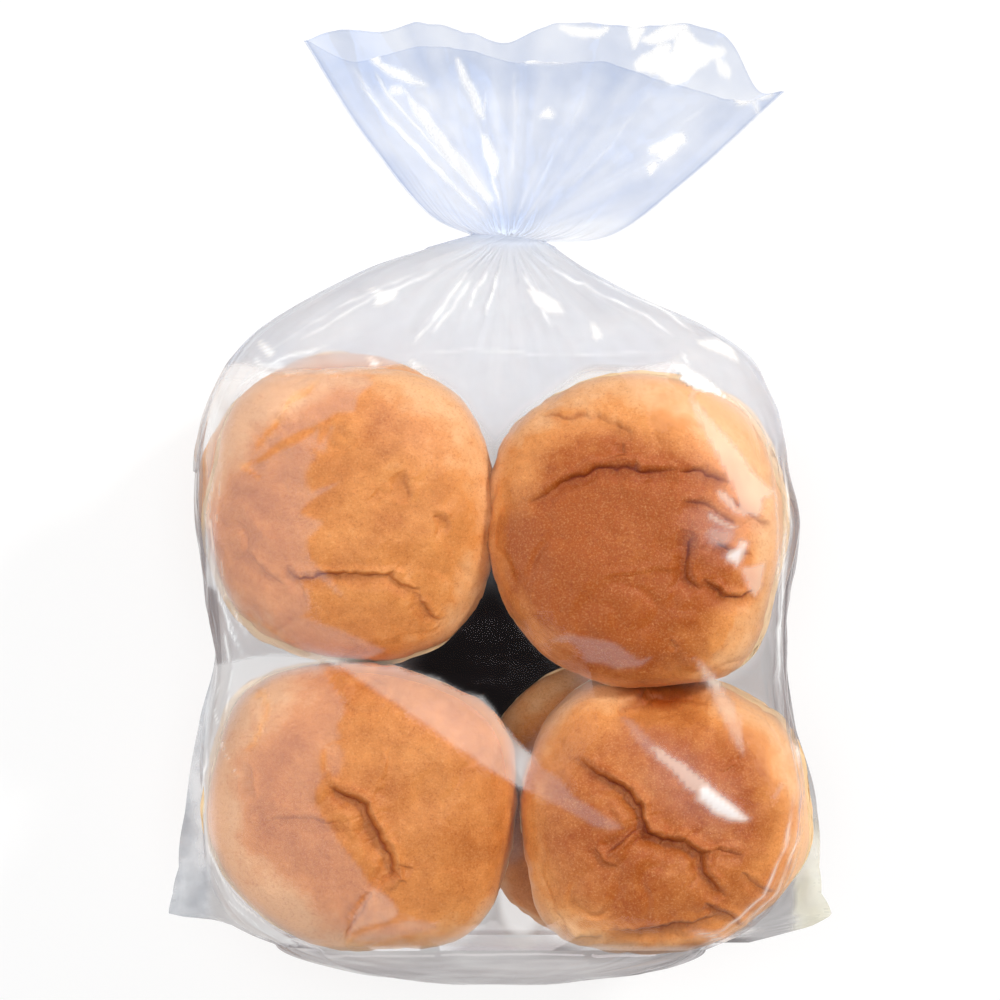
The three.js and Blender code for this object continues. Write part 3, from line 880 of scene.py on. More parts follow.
# Folds in the flared top's front sheet, given as the front folds of the body are.
topFolds = [
    ([(-50, 164), (-43, 153), (-27.6, 135.6), (-9.7, 118.7), (-5, 105), (1, 96)], 1.8, 5, 7),
    ([(-50, 151), (-49, 143), (-38.8, 132), (-29.8, 119.7), (-9.7, 103)], 1.4, 5, 6),
    ([(-11.4, 151.8), (-5.2, 135.6), (-0.7, 122), (1, 110), (1.6, 97)], 1.7, 5, 5),
    ([(11, 158), (10, 138.8), (7.8, 122), (6.1, 98)], 1.3, 4, 4),
    ([(-30, 156), (-16, 136), (-6, 116)], 1.0, 5, 5),
    ([(3.8, 151), (16, 152.5), (28.5, 151.8)], 1.2, 3.5, 3.5),
    ([(44.2, 152.8), (52, 149), (60.5, 146), (70, 150), (77.9, 154.6)], 1.6, 7, 5),
    ([(50, 158), (58, 153), (64, 160)], 1.2, 5, 5),
    ([(51, 114.2), (54.3, 119.8), (63.8, 125.4)], 1.5, 5, 5),
    ([(93, 143), (80, 127), (66, 116)], 1.2, 6, 5),
    ([(84, 146), (60, 126), (34, 108), (14, 97)], 0.9, 6, 6),
]


# Painted glints, where crumpled film is painted white to stand for its glitter: which sheet (1 front, -1
# back), the outline as seen from straight above, how dense.
paintedGlints = [
    (-1, [(21.4, 165.6), (34.5, 164.9), (37.6, 165.3), (34.5, 163.2), (29.3, 162.8), (24.8, 163.2)], 0.7),
    (-1, [(45.5, 166), (50, 165.6), (47, 158.7)], 0.6),
    (-1, [(50, 161), (55, 164), (59.3, 166.3), (65, 165.6), (60.4, 162.2), (54, 160.4)], 0.55),
    (-1, [(47.6, 152.5), (50, 155.3), (53.5, 156.6), (55.2, 158.7), (59.3, 159.4), (58, 156), (60.7, 157),
          (62.1, 161.5), (63.8, 164.2), (65.6, 163.5), (68, 160.8), (70.4, 159.7), (73.8, 158), (76.6, 158),
          (78.7, 156.6), (76.6, 154.6), (73.1, 154.6), (71.8, 152.5), (69, 151.1), (67.6, 149.7),
          (64.9, 147.3),
          (60.7, 145.9), (58, 147.7), (55.5, 149.7), (51.8, 151.1), (48.6, 150.8)], 0.8),
    (-1, [(75.9, 153.5), (78, 152.5), (80.4, 150), (80, 148), (78, 149), (76.6, 151.1)], 0.5),
    (1, [(81.1, 140.8), (83.5, 141.5), (86.9, 139.4), (85.9, 137.7), (82.8, 137.3), (81.4, 138.7)], 0.75),
    (1, [(86.9, 138.9), (89.7, 135.2), (88.5, 138.4)], 0.5),
    (1, [(51.4, 121.1), (54.5, 122.8), (59.3, 125.2), (63.5, 126.6), (64.2, 123.5), (61.7, 122.4),
         (60.7, 120.1),
         (56.6, 117.6), (55, 119), (56.5, 120.4), (52.1, 119.7)], 0.75),
    (1, [(50.7, 115.6), (53.5, 117), (54.5, 115.9), (51.8, 112.8)], 0.7),
    (1, [(14.1, 132.1), (15.5, 134.2), (16.9, 135.2), (18.3, 133.2), (17.6, 131.8)], 0.45),
    (1, [(-51.8, 161.8), (-46.6, 160.4), (-44.2, 156.3), (-40.7, 151.1), (-32.8, 148.4), (-30.4, 145.9),
         (-25.9, 143.2), (-31, 144.2), (-37.3, 146.6), (-43.1, 151.1), (-50, 158.7)], 0.6),
    (1, [(-37.3, 143.2), (-34.5, 143), (-33.8, 140.8), (-37.6, 141.1)], 0.65),
    (1, [(-31, 138.7), (-25.9, 133.9), (-21.7, 128.3), (-16.6, 121.4), (-11.7, 115.6), (-6.9, 109.4),
         (-2.8, 103.5), (-4.1, 102.8), (-9, 107.6), (-14.5, 113.9), (-20.7, 121.4), (-24.8, 127.7),
         (-29.3, 133.9)], 0.5),
    (1, [(-5.5, 125.9), (-3.5, 123.5), (-1, 117.3), (-1, 111.8), (-2.8, 113.2), (-4.5, 119)], 0.5),
    (1, [(-14.5, 152.5), (-12.4, 149), (-9.7, 143.2), (-6.9, 136.6), (-5.5, 131.8), (-7.6, 133.9),
         (-11, 140.8), (-13.8, 147)], 0.45),
    (1, [(-44.9, 73.5), (-41, 72), (-36.2, 72.8), (-37.3, 70.4), (-40, 69), (-43, 68.6), (-42.3, 71)], 0.7),
    (1, [(-83.5, 54.5), (-79, 51.4), (-80.4, 50.2), (-82, 52)], 0.45),
    (1, [(70, 55), (76, 56), (81, 52), (83, 49), (77, 51)], 0.35),
    (1, [(32.3, 61), (34.8, 57), (33.3, 56.4)], 0.5),
    (1, [(10, 72.8), (14.8, 71.8), (20, 68.3), (21.7, 65.2), (17, 65.6), (12.8, 69)], 0.3),
    (1, [(-45.3, 49.6), (-42, 47), (-44.4, 45.8)], 0.45),
    (1, [(-30.6, 48), (-26.6, 45.9), (-30.2, 45)], 0.35),
    (1, [(59.7, 46.4), (63.5, 46.4), (66.2, 44.4), (70.7, 42.3), (74.5, 39), (78.5, 35.3), (74.2, 36.7),
         (69, 38), (65.6, 39.8), (62.1, 41.9), (63.3, 43.5)], 0.85),
]


# Outlines on the front sheet inside which it is drawn tight over a bun, and mirrors the studio's panels; next
# to each, how well it mirrors them, and how much whiter it is painted there as a painted reflection.
tightPatches = [
    ([(-46, 43), (-44.2, 39.7), (-48.3, 36.2), (-50, 32.8), (-50.7, 30.4), (-56.9, 30), (-62.1, 26.9),
      (-69, 23.8), (-75.9, 20), (-82.1, 15.5), (-86.3, 13.2), (-90.7, 11.6), (-83.5, 12.7), (-79.4, 14.8),
      (-74.2, 17.6), (-69, 19.8), (-63.8, 23.6), (-62.4, 25.4), (-62.1, 20.7), (-61.4, 18.3), (-57.6, 25.7),
      (-59.3, 20.7), (-60.4, 16.6), (-65.9, 18.6), (-63.1, 15.2), (-65.6, 12.4), (-66.9, 8.3), (-66.2, 4.8),
      (-64.5, 3.3), (-60, 4.4), (-55, 6), (-61.4, 2), (-66.2, -0.3), (-68.7, -4.1), (-66.9, -5.5),
      (-61, -7.6), (-63.5, -10.7), (-66.6, -13.8), (-66.6, -16.6), (-65.2, -20), (-62.8, -23.1),
      (-55.2, -30.6), (-53.3, -33.9), (-58.7, -29.6), (-62.8, -26.9), (-69, -26.6), (-68, -29.7),
      (-65.9, -33.5), (-65.6, -36.6), (-66.6, -39), (-68.3, -40), (-63.1, -41.7), (-58, -43.5),
      (-53.1, -45.2), (-48.3, -47.6), (-43.5, -50), (-39.7, -52.1), (-45, -54), (-60, -56), (-102, -30),
      (-102, 42), (-69, 43)], 0.2, 0.165),
    ([(-80, -53), (-62.4, -54.2), (-61.4, -56.9), (-59.3, -61.4), (-56.6, -65.6), (-54.2, -69),
      (-53.1, -71.8), (-53.8, -74.2), (-55.9, -76.9), (-55.2, -81.8), (-58.7, -83.8), (-61.4, -86.9),
      (-62.4, -91.1), (-60.7, -95.2), (-63.5, -100), (-63.5, -103.8), (-61.1, -108.7), (-58.3, -112.5),
      (-54.9, -117), (-52.8, -121.1), (-49.7, -125.2), (-47.3, -128.7), (-44.5, -133.2), (-52, -143),
      (-54, -154), (-103, -155), (-103, -58)], 0.2, 0.15),
    ([(-44.5, -133.2), (-39.3, -135.9), (-36.6, -138.3), (-35.2, -141.5), (-35.9, -143.9), (-39.3, -145.9),
      (-46.2, -147.7), (-51.4, -149.4), (-53.5, -152.1), (-51.5, -143.5)], 0.2, 0.21),
    ([(-60, -84.5), (-55.9, -83.5), (-53.5, -86.9), (-54.5, -91.4), (-56.6, -95.9),
      (-59.3, -93.2)], 0.1, 0.12),
    ([(-51.1, -152.8), (-49.7, -150.8), (-44.2, -148.7), (-37.3, -146.6), (-30.4, -145.2), (-25.5, -145.6),
      (-21.4, -147.3), (-24.8, -149.4), (-33.8, -151.1), (-44.2, -152.5)], 0.1, 0.18),
    ([(-61.8, -54.2), (-55.2, -58), (-49, -62.1), (-41.4, -66.9), (-34.5, -71.4), (-27.6, -75.9),
      (-21.7, -80.4), (-10.4, -88.7), (-3.5, -93.2), (1, -96.3), (6.9, -99), (9, -100), (11, -87.8),
      (8, -85.6), (1.7, -78.7), (-1.7, -72.5), (-5.9, -68), (-13.8, -66.3), (-20.7, -62.1), (-34.5, -57.6),
      (-50, -55.5)], 0.1, 0.24),
    ([(9, -100), (13.8, -102.5), (20.7, -105.6), (27.6, -109.4), (33.5, -112.5), (38, -113.5), (41.9, -112.8),
      (38.6, -110.4), (34.5, -107.6), (29.3, -104.5), (24.2, -100.7), (19, -95.2), (15.5, -92.5),
      (11, -87.8)], 0.2, 0.17),
    ([(40.7, -74.2), (45.5, -76.6), (50, -80.4), (53.5, -84.5), (51.8, -88), (48.3, -84.5), (44.2, -79.4)],
     0.2, 0.16),
    ([(51.8, -83.8), (55.2, -85.6), (59.3, -88.7), (63.5, -91.1), (69, -94.9), (71.8, -97.3), (73.8, -100),
      (69, -102.5), (64.9, -99.7), (62.1, -96.6), (56.6, -91.1), (53.5, -88.7)], 0.2, 0.36),
    ([(68.3, -98.7), (71.1, -98), (73.8, -100), (77.3, -102.8), (81.1, -105.6), (85.9, -110.4),
      (83.5, -111.1), (79.4, -110.4), (76.6, -108.7), (73.8, -107.6), (70, -104.5), (68, -103.5)], 0.2, 0.75),
    ([(94, -103), (97, -98), (98.5, -99), (95.5, -103.5)], 0.2, 0.16),
    ([(66.6, -54.2), (69, -59.3), (71.8, -64.9), (74.5, -71.1), (77.3, -76.6), (80, -82.1), (82.8, -86.3),
      (84.2, -88.7), (84.5, -84), (83.5, -78), (80.7, -70.7), (77.6, -65.6), (73.8, -60), (70.4, -56.9)],
     0.1, 0.24),
    ([(65.9, 33.5), (68, 34.5), (71.1, 30.4), (75.9, 24.2), (81.8, 19), (85.6, 13.1), (89, 8.3), (94.9, 3.1),
      (93.2, 0.3), (91.1, 0.7), (90.4, -2.8), (88.7, -5.9), (85.6, -4.8), (83.1, -5.9), (81.8, 0),
      (79.4, 6.2), (75.9, 12.4), (72.5, 19.3), (69, 26.2)], 0.1, 0.26),
    ([(74.5, 3.1), (77.3, 2.4), (80, 0), (82.5, -3.8), (81.8, -4.8), (78.7, -2.4), (75.9, 0)], 0.1, 0.42),
    ([(70.7, -4.1), (74.2, -5.5), (78.3, -7.6), (82.1, -9.3), (79.4, -10), (75.2, -8.3),
      (71.8, -6.6)], 0.1, 0.3),
    ([(71.1, -10.7), (73.8, -9), (77.3, -10), (80.7, -9.7), (80.4, -13.8), (78.3, -16.2), (75.2, -16.9),
      (71.1, -14.8)], 0.1, 0.2),
    ([(77.6, -19.3), (79.7, -17.9), (82.1, -16.6), (83.1, -14.1), (85.2, -14.8), (84.2, -17.6), (83.1, -21),
      (82.1, -23.1), (80.7, -21.7), (79, -21.4)], 0.1, 0.7),
    ([(83.1, -23.1), (88, -22.1), (92.1, -21.4), (91.1, -25.9), (89.7, -31), (88.7, -33.8), (86.3, -31.4),
      (84.5, -27.6)], 0.1, 0.33),
    ([(16.6, -48.6), (19.3, -46.9), (23.1, -45.9), (27.6, -46.9), (33.5, -48), (38.6, -48.6), (43.1, -51.8),
      (47.3, -55.2), (51.8, -54.2), (48.6, -56.9), (44.9, -57.6), (40.7, -58), (34.5, -55.9), (29.3, -54.9),
      (27.3, -51.1), (22.8, -48.3)], 0.1, 0.17),
]

# and narrow tucks in it that stay clear: the line, its width and how clear
clearTucks = [
    ([(-60.5, 43), (-66, 38.5), (-72, 34), (-76, 28), (-85, 16.5)], 1.1, 1.3),
    ([(-91, 12), (-87, 10.5), (-82, 7)], 0.7, 1.0),
    ([(-45, -134), (-50, -141), (-54, -152)], 0.6, 1.0),
    ([(-87, -70), (-82, -66.5), (-80, -72), (-83, -80), (-88, -88)], 1.0, 1.0),
]

# thin pleats where the film lies folded on itself, denser there and painted white as highlights along them:
# the line, its width, how white
pleatsWithPaintedHighlight = [
    ([(65.9, 33.5), (66.9, 37.3), (70, 38.3)], 0.8, 0.4),
    ([(5, 151.1), (20, 151.8), (30.4, 152.8)], 0.9, 0.6),
    ([(-11, 80), (-20.5, 65.5), (-30.5, 53.5)], 0.6, 0.5),
    ([(-9, 78), (-16, 67), (-24, 57)], 0.6, 0.4),
    ([(-0.5, 80.5), (-2.5, 72.5), (-5, 63.5)], 0.6, 0.4),
    ([(-4, 80), (-9, 72), (-11, 66)], 0.5, 0.3),
    ([(8, 80), (13, 70), (18, 60)], 0.6, 0.35),
    ([(16, 82), (30, 75), (51, 64), (61, 57)], 0.5, 0.4),
    ([(30, 79), (55, 68), (70, 57)], 0.5, 0.3),
    ([(-20, 81), (-45, 70), (-70, 55)], 0.6, 0.28),
    ([(-28, 80), (-55, 68), (-80, 52)], 0.6, 0.28),
    ([(-96, 28), (-90, 40), (-76, 49), (-58, 54)], 0.6, 0.35),
    ([(-86, 51), (-84, 47), (-74, 46)], 0.8, 0.4),
    ([(-38, 50), (-10, 52), (20, 50), (66, 52)], 0.5, 0.08),
    ([(-90, 44.5), (-60, 44), (-35, 44)], 0.5, 0.3),
    ([(66, 45), (63, 52)], 0.5, 0.35),
    ([(-101, -80), (-104, -104), (-101, -122), (-92, -138), (-74, -152)], 0.6, 0.45),
    ([(-97, -82), (-94, -90), (-90, -97)], 0.5, 0.4),
    ([(-98, -60), (-99, -72), (-96, -84)], 0.5, 0.3),
    ([(-104, -120), (-96, -138), (-80, -151)], 0.5, 0.3),
    ([(102, -100), (99, -120), (91, -137), (77, -149), (62, -153)], 0.7, 0.6),
    ([(105, -98), (103, -118), (96, -136), (84, -148)], 0.6, 0.35),
    ([(64, -149), (70, -150), (78, -153), (92, -151)], 1.1, 0.5),
    ([(91, 30), (95, 6), (97, -30), (96, -60)], 0.5, 0.3),
    ([(95, 24), (99, 0), (98, -40), (95, -70)], 0.5, 0.35),
    ([(98, 20), (101, -8), (97, -45), (97, -80)], 0.5, 0.35),
    ([(-98, 20), (-101, -5), (-97, -35), (-90, -50)], 0.5, 0.35),
    ([(-95, 28), (-98, 0), (-96, -30), (-86, -50)], 0.5, 0.3),
    ([(-102, 12), (-99, -20), (-94, -45), (-86, -60)], 0.5, 0.35),
    ([(-97, -40), (-93, -60), (-96, -80)], 0.5, 0.3),
    ([(-52, 152), (-44, 140), (-31, 124), (-14, 106), (-4, 96)], 0.8, 0.4),
    ([(-50, 146), (-38, 131), (-24, 116)], 0.6, 0.4),
    ([(-44, 150), (-38, 140), (-26, 126), (-12, 110)], 0.5, 0.35),
    ([(-36, 146), (-25, 131), (-10, 112), (-2, 98)], 0.5, 0.3),
    ([(-12, 150), (-9, 135), (-4, 118), (0, 100)], 0.5, 0.25),
    ([(-6, 148), (-5, 130), (-1, 112)], 0.5, 0.15),
    ([(5, 150), (5, 130), (4, 110)], 0.6, 0.10),
    ([(30, 140), (20, 120), (10, 104)], 0.5, 0.08),
    ([(55, 145), (38, 122), (18, 102)], 0.5, 0.07),
    ([(75, 140), (52, 120), (30, 106)], 0.5, 0.06),
    ([(88, 150), (90, 140), (96, 142)], 0.8, 0.4),
]


def topSheet(side):
    # the flared top: gathered folds by the neck open into broad waves and flat crumpled facets
    t = np.linspace(0.02, 1, filmLook["topRows"])[:, None]
    angle = np.linspace(0, np.pi, filmLook["across"])[None, :]
    share = (1 - np.cos(angle)) / 2
    ragged = 1.4 * facets(share * 120, t * 8, 7, 171 + side) + 0.5 * facets(share * 120, t * 8, 3, 173 + side)
    lip = (frontLip if side > 0 else backLip)(share) * t ** 1.4 + ragged * t ** 8 * np.sin(angle)
    x = mix(topRight[0](t), topLeft[0](t), share)
    y = mix(topRight[1](t), topLeft[1](t), share) + lip
    plane = mix(46, 31, smooth(0, 1, t))
    depth = mix(filmLook["neckRadius"], 16.5 if side > 0 else 15.5, np.sqrt(t))
    z = plane + side * depth * np.sin(angle)
    both = np.stack([angle * 5 + 0 * t, t * 1.6 + 0 * angle], axis=-1)
    relief = np.zeros(x.shape)
    for count, size, fade, seed in ((5, 1.0, 0.0, 31), (12, 0.7, 2.0, 34), (27, 0.5, 3.2, 37)):
        waves = angle * count * 2 + 1.6 * lumps(both, 1, seed + side)
        folds = 1 - 2 * np.abs(np.sin(waves / 2)) ** 0.8
        relief += size * folds * (1 - t) ** fade * smooth(0, 0.2, t)
    spoke = np.arctan2(x - 2.8, y - 86)
    relief += 0.8 * smooth(0.05, 0.4, t) * facets(spoke * 30, t * 9 + 0 * x, 3.0, 81 + side)
    relief += smooth(0.15, 0.6, t) * (1.0 * facets(x, y, 27, 61 + side) + 0.4 * facets(x, y, 9, 67 + side))
    relief += smooth(0.1, 0.4, t) * 0.2 * facets(x, y, 4, 69 + side)
    if side > 0:
        flat = np.stack([x, y], axis=-1)
        relief += foldsOver(x + 1.3 * lumps(flat, 13, 79), y + 1.3 * lumps(flat, 13, 80), topFolds)
    z = z + relief * np.sin(angle) ** 0.7
    return x, y, z


# painted glare: where the front sheet is painted soft and milky-white to stand for a broad soft reflection:
# the place, half its length and width, its turn, how much
paintedGlareVeils = [
    ((64, -96), (30, 12), -40, 0.10),
    ((80, 4), (30, 11), -62, 0.12),
    ((-30, 26), (24, 15), -30, 0.05),
    ((76, -8), (16, 15), 0, 0.12),
]


# where the film is clear enough to show the buns underneath: the place and its half sizes
clearWindows = [((7.6, -137), (8, 16)), ((-100.7, 12), (5, 22))]


def filmMarks(x, y, side, isTop, isBody, loose):
    # the painted glints, their halo, the painted glare veils, and how much haze is left where the film lies
    # tight
    flat = np.stack([x, y], axis=-1)
    # the outlines are given as seen from above, where the film's front stands nearer the eye
    nearer = mix(filmLook["nearer"], 1.0, isTop)
    seenX, seenY = x * nearer, y * nearer
    ragX = seenX + 0.4 * lumps(flat, 5, 169) + 0.3 * facets(x, y, 4, 170)
    ragY = seenY + 0.4 * lumps(flat, 5, 175) + 0.3 * facets(x, y, 4, 176)
    glint, halo = np.zeros(len(x)), np.zeros(len(x))
    for sheet, edgeLine, dense in paintedGlints:
        if sheet == side:
            depth = depthInside(ragX, ragY, edgeLine)
            glint = np.maximum(glint, dense * smooth(-0.4, 0.4, depth))
            halo = np.maximum(halo, smooth(-1.3, -0.4, depth))
    cracked = smooth(-0.1, 0.0, np.abs(facets(x, y, 3.4, 167)) - 0.07)
    glint = glint * mix(0.25, 1, cracked)
    paintedGlare = np.zeros(len(x))
    tight = np.ones(len(x))
    if side > 0:
        for at, size, turn, amount in paintedGlareVeils:
            dx, dy = x - at[0], y - at[1]
            alongIt = dx * math.cos(math.radians(turn)) + dy * math.sin(math.radians(turn))
            acrossIt = dy * math.cos(math.radians(turn)) - dx * math.sin(math.radians(turn))
            spread = np.hypot(alongIt / size[0], acrossIt / size[1]) + 0.15 * lumps(flat, 8, 92)
            paintedGlare = np.maximum(paintedGlare, amount * smooth(1.2, 0.1, spread))
        inPatch, paintedPatchReflection = np.zeros(len(x)), np.zeros(len(x))
        for edgeLine, mirror, paintedWhiteness in tightPatches:
            blur = 0.6 + 1.4 * paintedWhiteness
            inside = smooth(-blur, blur, depthInside(ragX, ragY, edgeLine)) * isBody
            inPatch = np.maximum(inPatch, mirror * inside)
            paintedPatchReflection = np.maximum(paintedPatchReflection, paintedWhiteness * inside)
        tuck = np.clip(thinLines(ragX, ragY, clearTucks) * 1.6, 0, 1)
        inPatch = inPatch * (1 - tuck)
        glint = np.maximum(glint, paintedPatchReflection * (1 - tuck))
        tight = mix(1 - 0.8 * (1 - loose) * isBody, 1, inPatch)
        glint = np.maximum(glint, thinLines(ragX, ragY, pleatsWithPaintedHighlight))
    return glint, halo, paintedGlare, tight


def filmColour(name):
    return np.array(filmLook[name])


def paintFilm(piece, points, side, buns, along, bodyRows):
    # how dense, what colour and how mirror-like the film is at each vertex; along is its row
    x, y = points[:, 0], points[:, 1]
    isTop = smooth(84, 100, y) * (along >= bodyRows - 8)
    shoulder = smooth(38, 85, y)
    isBody = along < bodyRows
    gridReach = np.min([domeReach(bun, x, y) for bun in buns.values()], axis=0)
    loose = smooth(0.9, 1.06, gridReach)
    # painted shade: the loose film low on the bag is made denser here, and greyer in its tint
    low = smooth(45, 5, y) * loose * isBody
    haze = 0.058 + 0.09 * loose * isBody + 0.22 * low + 0.02 * shoulder * (1 - isTop) + 0.125 * isTop
    # thinner over the dark between the front buns, denser where the neck is gathered
    fromGap = np.hypot(x + 2, y + 58)
    overGap = smooth(36, 22, fromGap) * isBody * loose
    streak = np.clip(facets(x * 0.2, y, 2.4, 165), -0.4, 1)
    haze = haze * (1 - 0.8 * overGap) + 0.05 * overGap * streak
    fromNeck = np.hypot(x - 2.5, (y - 90) * 1.3)
    haze = haze + 0.3 * np.exp(-((fromNeck / 11) ** 2))
    # the shoulder above the buns is milky, with a crisp lower edge where the film folds over
    flat = points[:, :2]
    valley = np.exp(-(((x + 3) / np.where(x > -3, 21, 15)) ** 2))
    foldY = 45.2 + 2.2 * lumps(flat, 15, 88) - 24 * valley + 7 * smooth(55, 75, x)
    edge = 1 + 9 * valley + 3 * smooth(50, 70, x)
    milky = smooth(-edge, edge, y - foldY) * (isBody | (along < bodyRows + 2)) * (1 - isTop)
    # and it reaches down round the outside of the upper right bun
    corner = smooth(52, 66, x) * smooth(4, 26, y) * loose * isBody
    milky = np.maximum(milky, 0.8 * corner)
    patchy = 0.10 * facets(x, y, 13, 89) + 0.06 * facets(x, y, 5, 87)
    haze = haze + milky * (0.36 + patchy)
    # bands of denser film down the walls and across the ears
    outward = np.abs(x - 1) - 90
    wall = smooth(0, 8, outward) * smooth(60, 40, y) * isBody
    band = facets(x, y * 0.12, 3.2, 141 + side)
    haze = haze + wall * (0.05 + np.clip(0.2 * band, -0.1, 0.2))
    earTop = np.where(x > 0, -100, -35)
    ear = smooth(9, 12, outward) * smooth(earTop, earTop - 20, y) * isBody
    crush = facets(x, y * 0.45, 4.5, 161) + 0.6 * facets(x, y, 2.6, 163)
    haze = haze + ear * np.clip(0.08 + 0.2 * crush, -0.06, 0.4)
    if side < 0:
        haze = haze + 0.15 * isTop * smooth(138, 152, y)
    haze = haze + 0.1 * (along == along[-1]) + 0.3 * (along <= 1) * smooth(92, 80, np.abs(x))
    dx, dy = x - filmLook["neck"][0], y - filmLook["neck"][1]
    spoke = np.arctan2(dx, np.abs(dy) + 3)
    pleat = facets(spoke * 42, np.hypot(dx, dy) * 0.13, 3.0, 151 + side)
    haze = haze + 0.08 * pleat * np.maximum(isTop, 0.7 * milky)
    flake = facets(x, y, 9, 191 + side) + 0.7 * facets(x, y, 4, 193 + side)
    haze = haze + 0.045 * flake * isTop * smooth(100, 116, y)
    glint, halo, paintedGlare, tight = filmMarks(x, y, side, isTop, isBody, loose)
    for at, size in clearWindows:
        spread = np.hypot((x - at[0]) / size[0], (y - at[1]) / size[1])
        haze = haze * (1 - 0.75 * smooth(1.2, 0.8, spread) * isBody)
    if side < 0:
        # painted glints on the bare back sheet of the top: its haze is cleared there, so the bright paper
        # under it shows through white
        haze, glint = haze * (1 - np.clip(1.2 * glint, 0, 1) * isTop), glint * (1 - isTop)
    haze = haze * tight + paintedGlare + glint
    paint(piece, "haze", haze)
    # how much of the film's haze is painted glint, glare and reflection
    white = np.clip((paintedGlare + glint) / np.maximum(haze, 0.01), 0, 1)
    colour = mix(filmColour("clear"), filmColour("paintedShadeGrey"), low[:, None])
    colour = mix(colour, filmColour("milk"), np.maximum(milky, 0)[:, None])
    pearl = np.where(x[:, None] > 0, filmColour("cream"), filmColour("pearl"))
    colour = mix(colour, pearl, ear[:, None])
    # painted shade: the film over the gap between the front buns is tinted near-black
    colour = mix(colour, filmColour("dark"), overGap[:, None])
    colour = mix(colour, filmColour("blue"), isTop[:, None])
    onBun = (1 - loose) * isBody * smooth(0.8, 0.4, glint)
    # painted reflections: over a bun the faint ones are mauve and the stronger ones warm
    faint = smooth(0.22, 0.18, glint)
    overBun = mix(filmColour("warm"), filmColour("mauve"), faint[:, None])
    glare = mix(filmColour("white"), overBun, onBun[:, None])
    colour = mix(colour, glare, np.maximum(np.clip(2.2 * white, 0, 1), halo)[:, None])
    paintColour(piece, "tint", colour)
    shine = (0.98 - 0.5 * loose * isBody - 0.82 * milky - 0.8 * isTop - 0.6 * ear) * (1 - white) ** 2
    paint(piece, "shine", np.clip(shine, 0, 1))


def filmSheet(name, side, buns):
    x, y, z, rise, angle = bodySheet()
    z = tautFilm(x, y, z, rise, buns)
    domes = np.max([domeHeight(bun, x, y, 1.9) for bun in buns.values()], axis=0)
    reach = np.min([domeReach(bun, x, y) for bun in buns.values()], axis=0)
    z = z + bodyRelief(x, y, rise, angle, side)
    z = np.where(reach < 0.97, np.maximum(z, domes), z)
    # the same crumple pushes the walls in and out
    wall = smooth(0.8, 0.4, rise) * np.sign(np.cos(angle))
    x = x + wall * sideFolds(angle * 58, y, side)
    z = sheetMiddle + side * np.maximum(z, filmLook["seamGap"])
    if side < 0:
        z = np.maximum(z, 0)
    body = np.stack([x, y, z], axis=-1)

    ears = []
    for sideLine, ear, sign in ((rightSide, rightEar, 1), (leftSide, leftEar, -1)):
        rowY = y[:, :1]
        out = np.linspace(1, 0, filmLook["earColumns"] + 1)[None, :-1]
        edge = sideLine(rowY) + sign * ear(rowY) * out
        height = sheetMiddle + side * filmLook["seamGap"] * (1 - out) + 0 * edge
        crush = 1.1 * facets(edge, rowY * 0.5, 6, 181) + 0.5 * facets(edge, rowY, 3.6, 183)
        wave = crush * smooth(-60, -110, rowY) * smooth(0, 0.3, out)
        strip = np.stack([edge, rowY + 0 * edge, height + wave], axis=-1)
        ears.append(strip)
    body = np.concatenate([ears[0], body, ears[1][:, ::-1]], axis=1)

    top = np.stack(topSheet(side), axis=-1)
    cuffs = []
    for column in (top[:, :1], top[:, -1:]):
        cuffs.append(np.repeat(column, filmLook["earColumns"], axis=1))
    drift = np.linspace(0.8, 0, filmLook["earColumns"] + 1)[:-1]
    cuffs[0][..., 0] += drift
    cuffs[1][..., 0] -= drift[::-1]
    top = np.concatenate([cuffs[0], top, cuffs[1]], axis=1)
    grid = np.concatenate([body, top], axis=0)

    rows, columns = grid.shape[:2]
    index = np.arange(rows * columns).reshape(rows, columns)
    corners = [index[:-1, :-1], index[:-1, 1:], index[1:, 1:], index[1:, :-1]]
    faces = np.stack([corner.ravel() for corner in corners], axis=-1)
    if side > 0:
        faces = faces[:, ::-1]
    points = grid.reshape(-1, 3)
    piece = meshObject(name, points, faces)
    along = np.repeat(np.arange(rows), columns)
    paintFilm(piece, points, side, buns, along, len(body))
    return piece, body[0, filmLook["earColumns"]:-filmLook["earColumns"]]


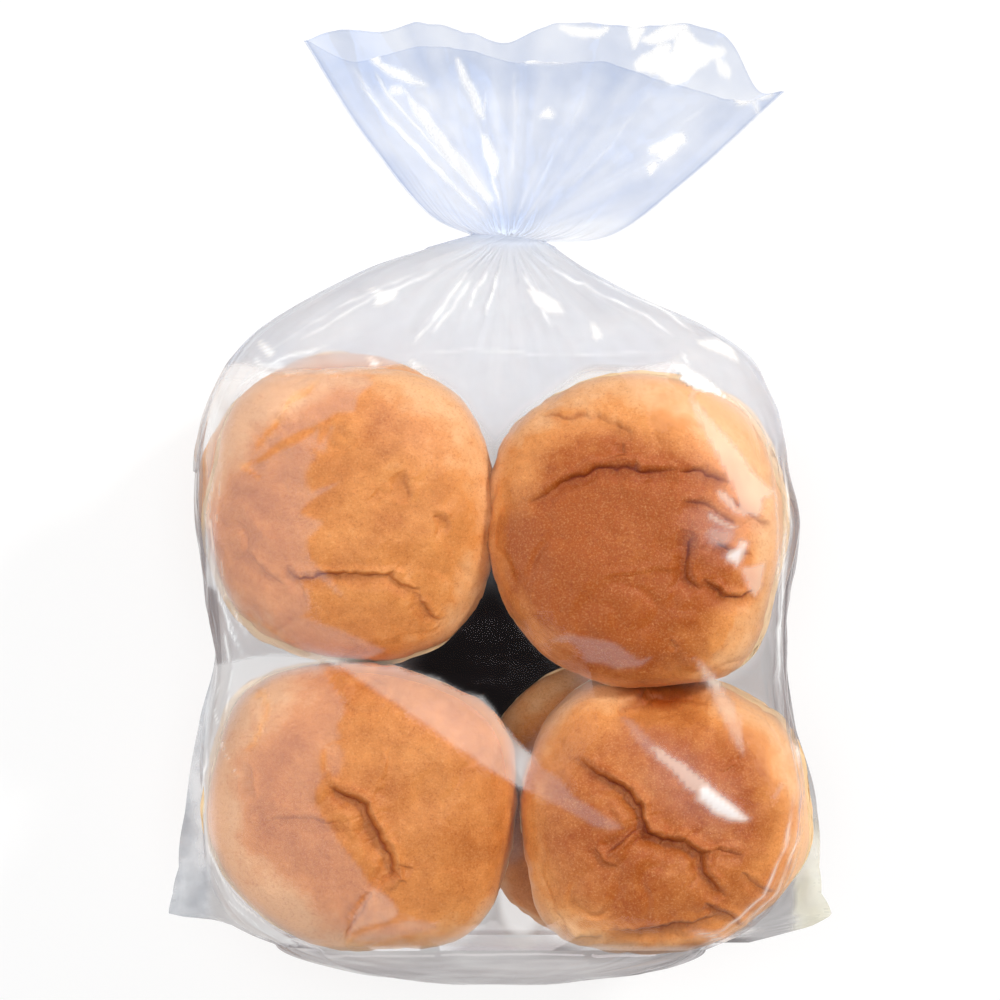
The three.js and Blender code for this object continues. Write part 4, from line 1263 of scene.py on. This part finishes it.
def filmBottom(frontEdge, backEdge):
    # the folded bottom panel, swelling below the edge of the front and back sheets
    ring = np.concatenate([frontEdge, backEdge[::-1][1:-1]], axis=0)
    middle = (leftSide(filmLook["bottomEdge"]) + rightSide(filmLook["bottomEdge"])) / 2
    shares = np.linspace(0, 1, 26)
    rings = []
    for share in shares:
        turn = share * np.pi / 2
        shrink = max(math.cos(turn), 0) ** (2 / 1.75)
        drop = filmLook["bottomBulge"] * math.sin(turn) ** (2 / 1.75)
        rings.append(np.stack([
            mix(middle, ring[:, 0], shrink),
            np.full(len(ring), filmLook["bottomEdge"] - drop),
            mix(sheetMiddle, ring[:, 2], shrink),
        ], axis=-1))
    grid = np.array(rings[:-1])
    across, depth = grid[..., 0], grid[..., 2]
    crumple = 0.8 * facets(across, depth, 16, 71) + 0.3 * facets(across, depth, 7, 73)
    grid[..., 1] += crumple * np.linspace(0, 1, len(grid))[:, None] ** 0.4
    count = grid.shape[1]
    index = np.arange(grid.shape[0] * count).reshape(grid.shape[0], count)
    following = np.roll(index, -1, axis=1)
    faces = np.stack([index[:-1], following[:-1], following[1:], index[1:]], axis=-1).reshape(-1, 4)
    points = grid.reshape(-1, 3)
    piece = meshObject("filmBottom", points, faces)
    bpy.ops.object.select_all(action="DESELECT")
    bpy.context.view_layer.objects.active = piece
    piece.select_set(True)
    bpy.ops.object.mode_set(mode="EDIT")
    bpy.ops.mesh.select_all(action="DESELECT")
    bpy.ops.object.mode_set(mode="OBJECT")
    last = set(index[-1].tolist())
    for vertex in last:
        piece.data.vertices[vertex].select = True
    bpy.ops.object.mode_set(mode="EDIT")
    bpy.ops.mesh.select_mode(type="VERT")
    bpy.ops.mesh.edge_face_add()
    bpy.ops.mesh.select_all(action="SELECT")
    bpy.ops.mesh.normals_make_consistent(inside=False)
    bpy.ops.object.mode_set(mode="OBJECT")
    piece.data.shade_smooth()
    across, depth = points[:, 0], points[:, 2]
    fold = facets(across * 0.13, depth, 4, 185) + 0.6 * facets(across * 0.2, depth, 2, 187)
    # painted shade: the bottom panel is dense and tinted grey
    haze = np.full(len(piece.data.vertices), 0.33)
    haze[:len(points)] += np.clip(0.16 * fold, -0.1, 0.3)
    paint(piece, "haze", haze)
    paintColour(piece, "tint", np.tile(filmLook["paintedShadeGrey"], (len(piece.data.vertices), 1)))
    paint(piece, "shine", np.full(len(piece.data.vertices), 0.6))
    return piece


makeStudio()
print("studio ready")

for name, bun in {**frontBuns, **backBuns}.items():
    down = name in backBuns
    crust = crustMaterial(name + "Crust", bun["bake"])
    detail = 6 if down else 7
    for half, isCrown in (("Crown", True), ("Heel", False)):
        piece = makeCrust(name + half, bun, isCrown, detail if isCrown else 6, down)
        piece.data.materials.append(crust)
        bpy.data.collections["bakery"].objects.link(piece)
        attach(piece, "root")
    print(name, "baked")

film = filmMaterial()
backMirrored = {
    name: {**bun, "turn": math.pi - bun["turn"]} for name, bun in backBuns.items()
}
frontSheet, frontEdge = filmSheet("filmFront", 1, frontBuns)
backSheet, backEdge = filmSheet("filmBack", -1, backMirrored)
sheets = [frontSheet, backSheet, filmBottom(frontEdge, backEdge)]
for sheet in sheets:
    sheet.data.materials.append(film)
    sheet.visible_shadow = False
    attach(sheet, "root")
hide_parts("bag")
print("film wrapped")
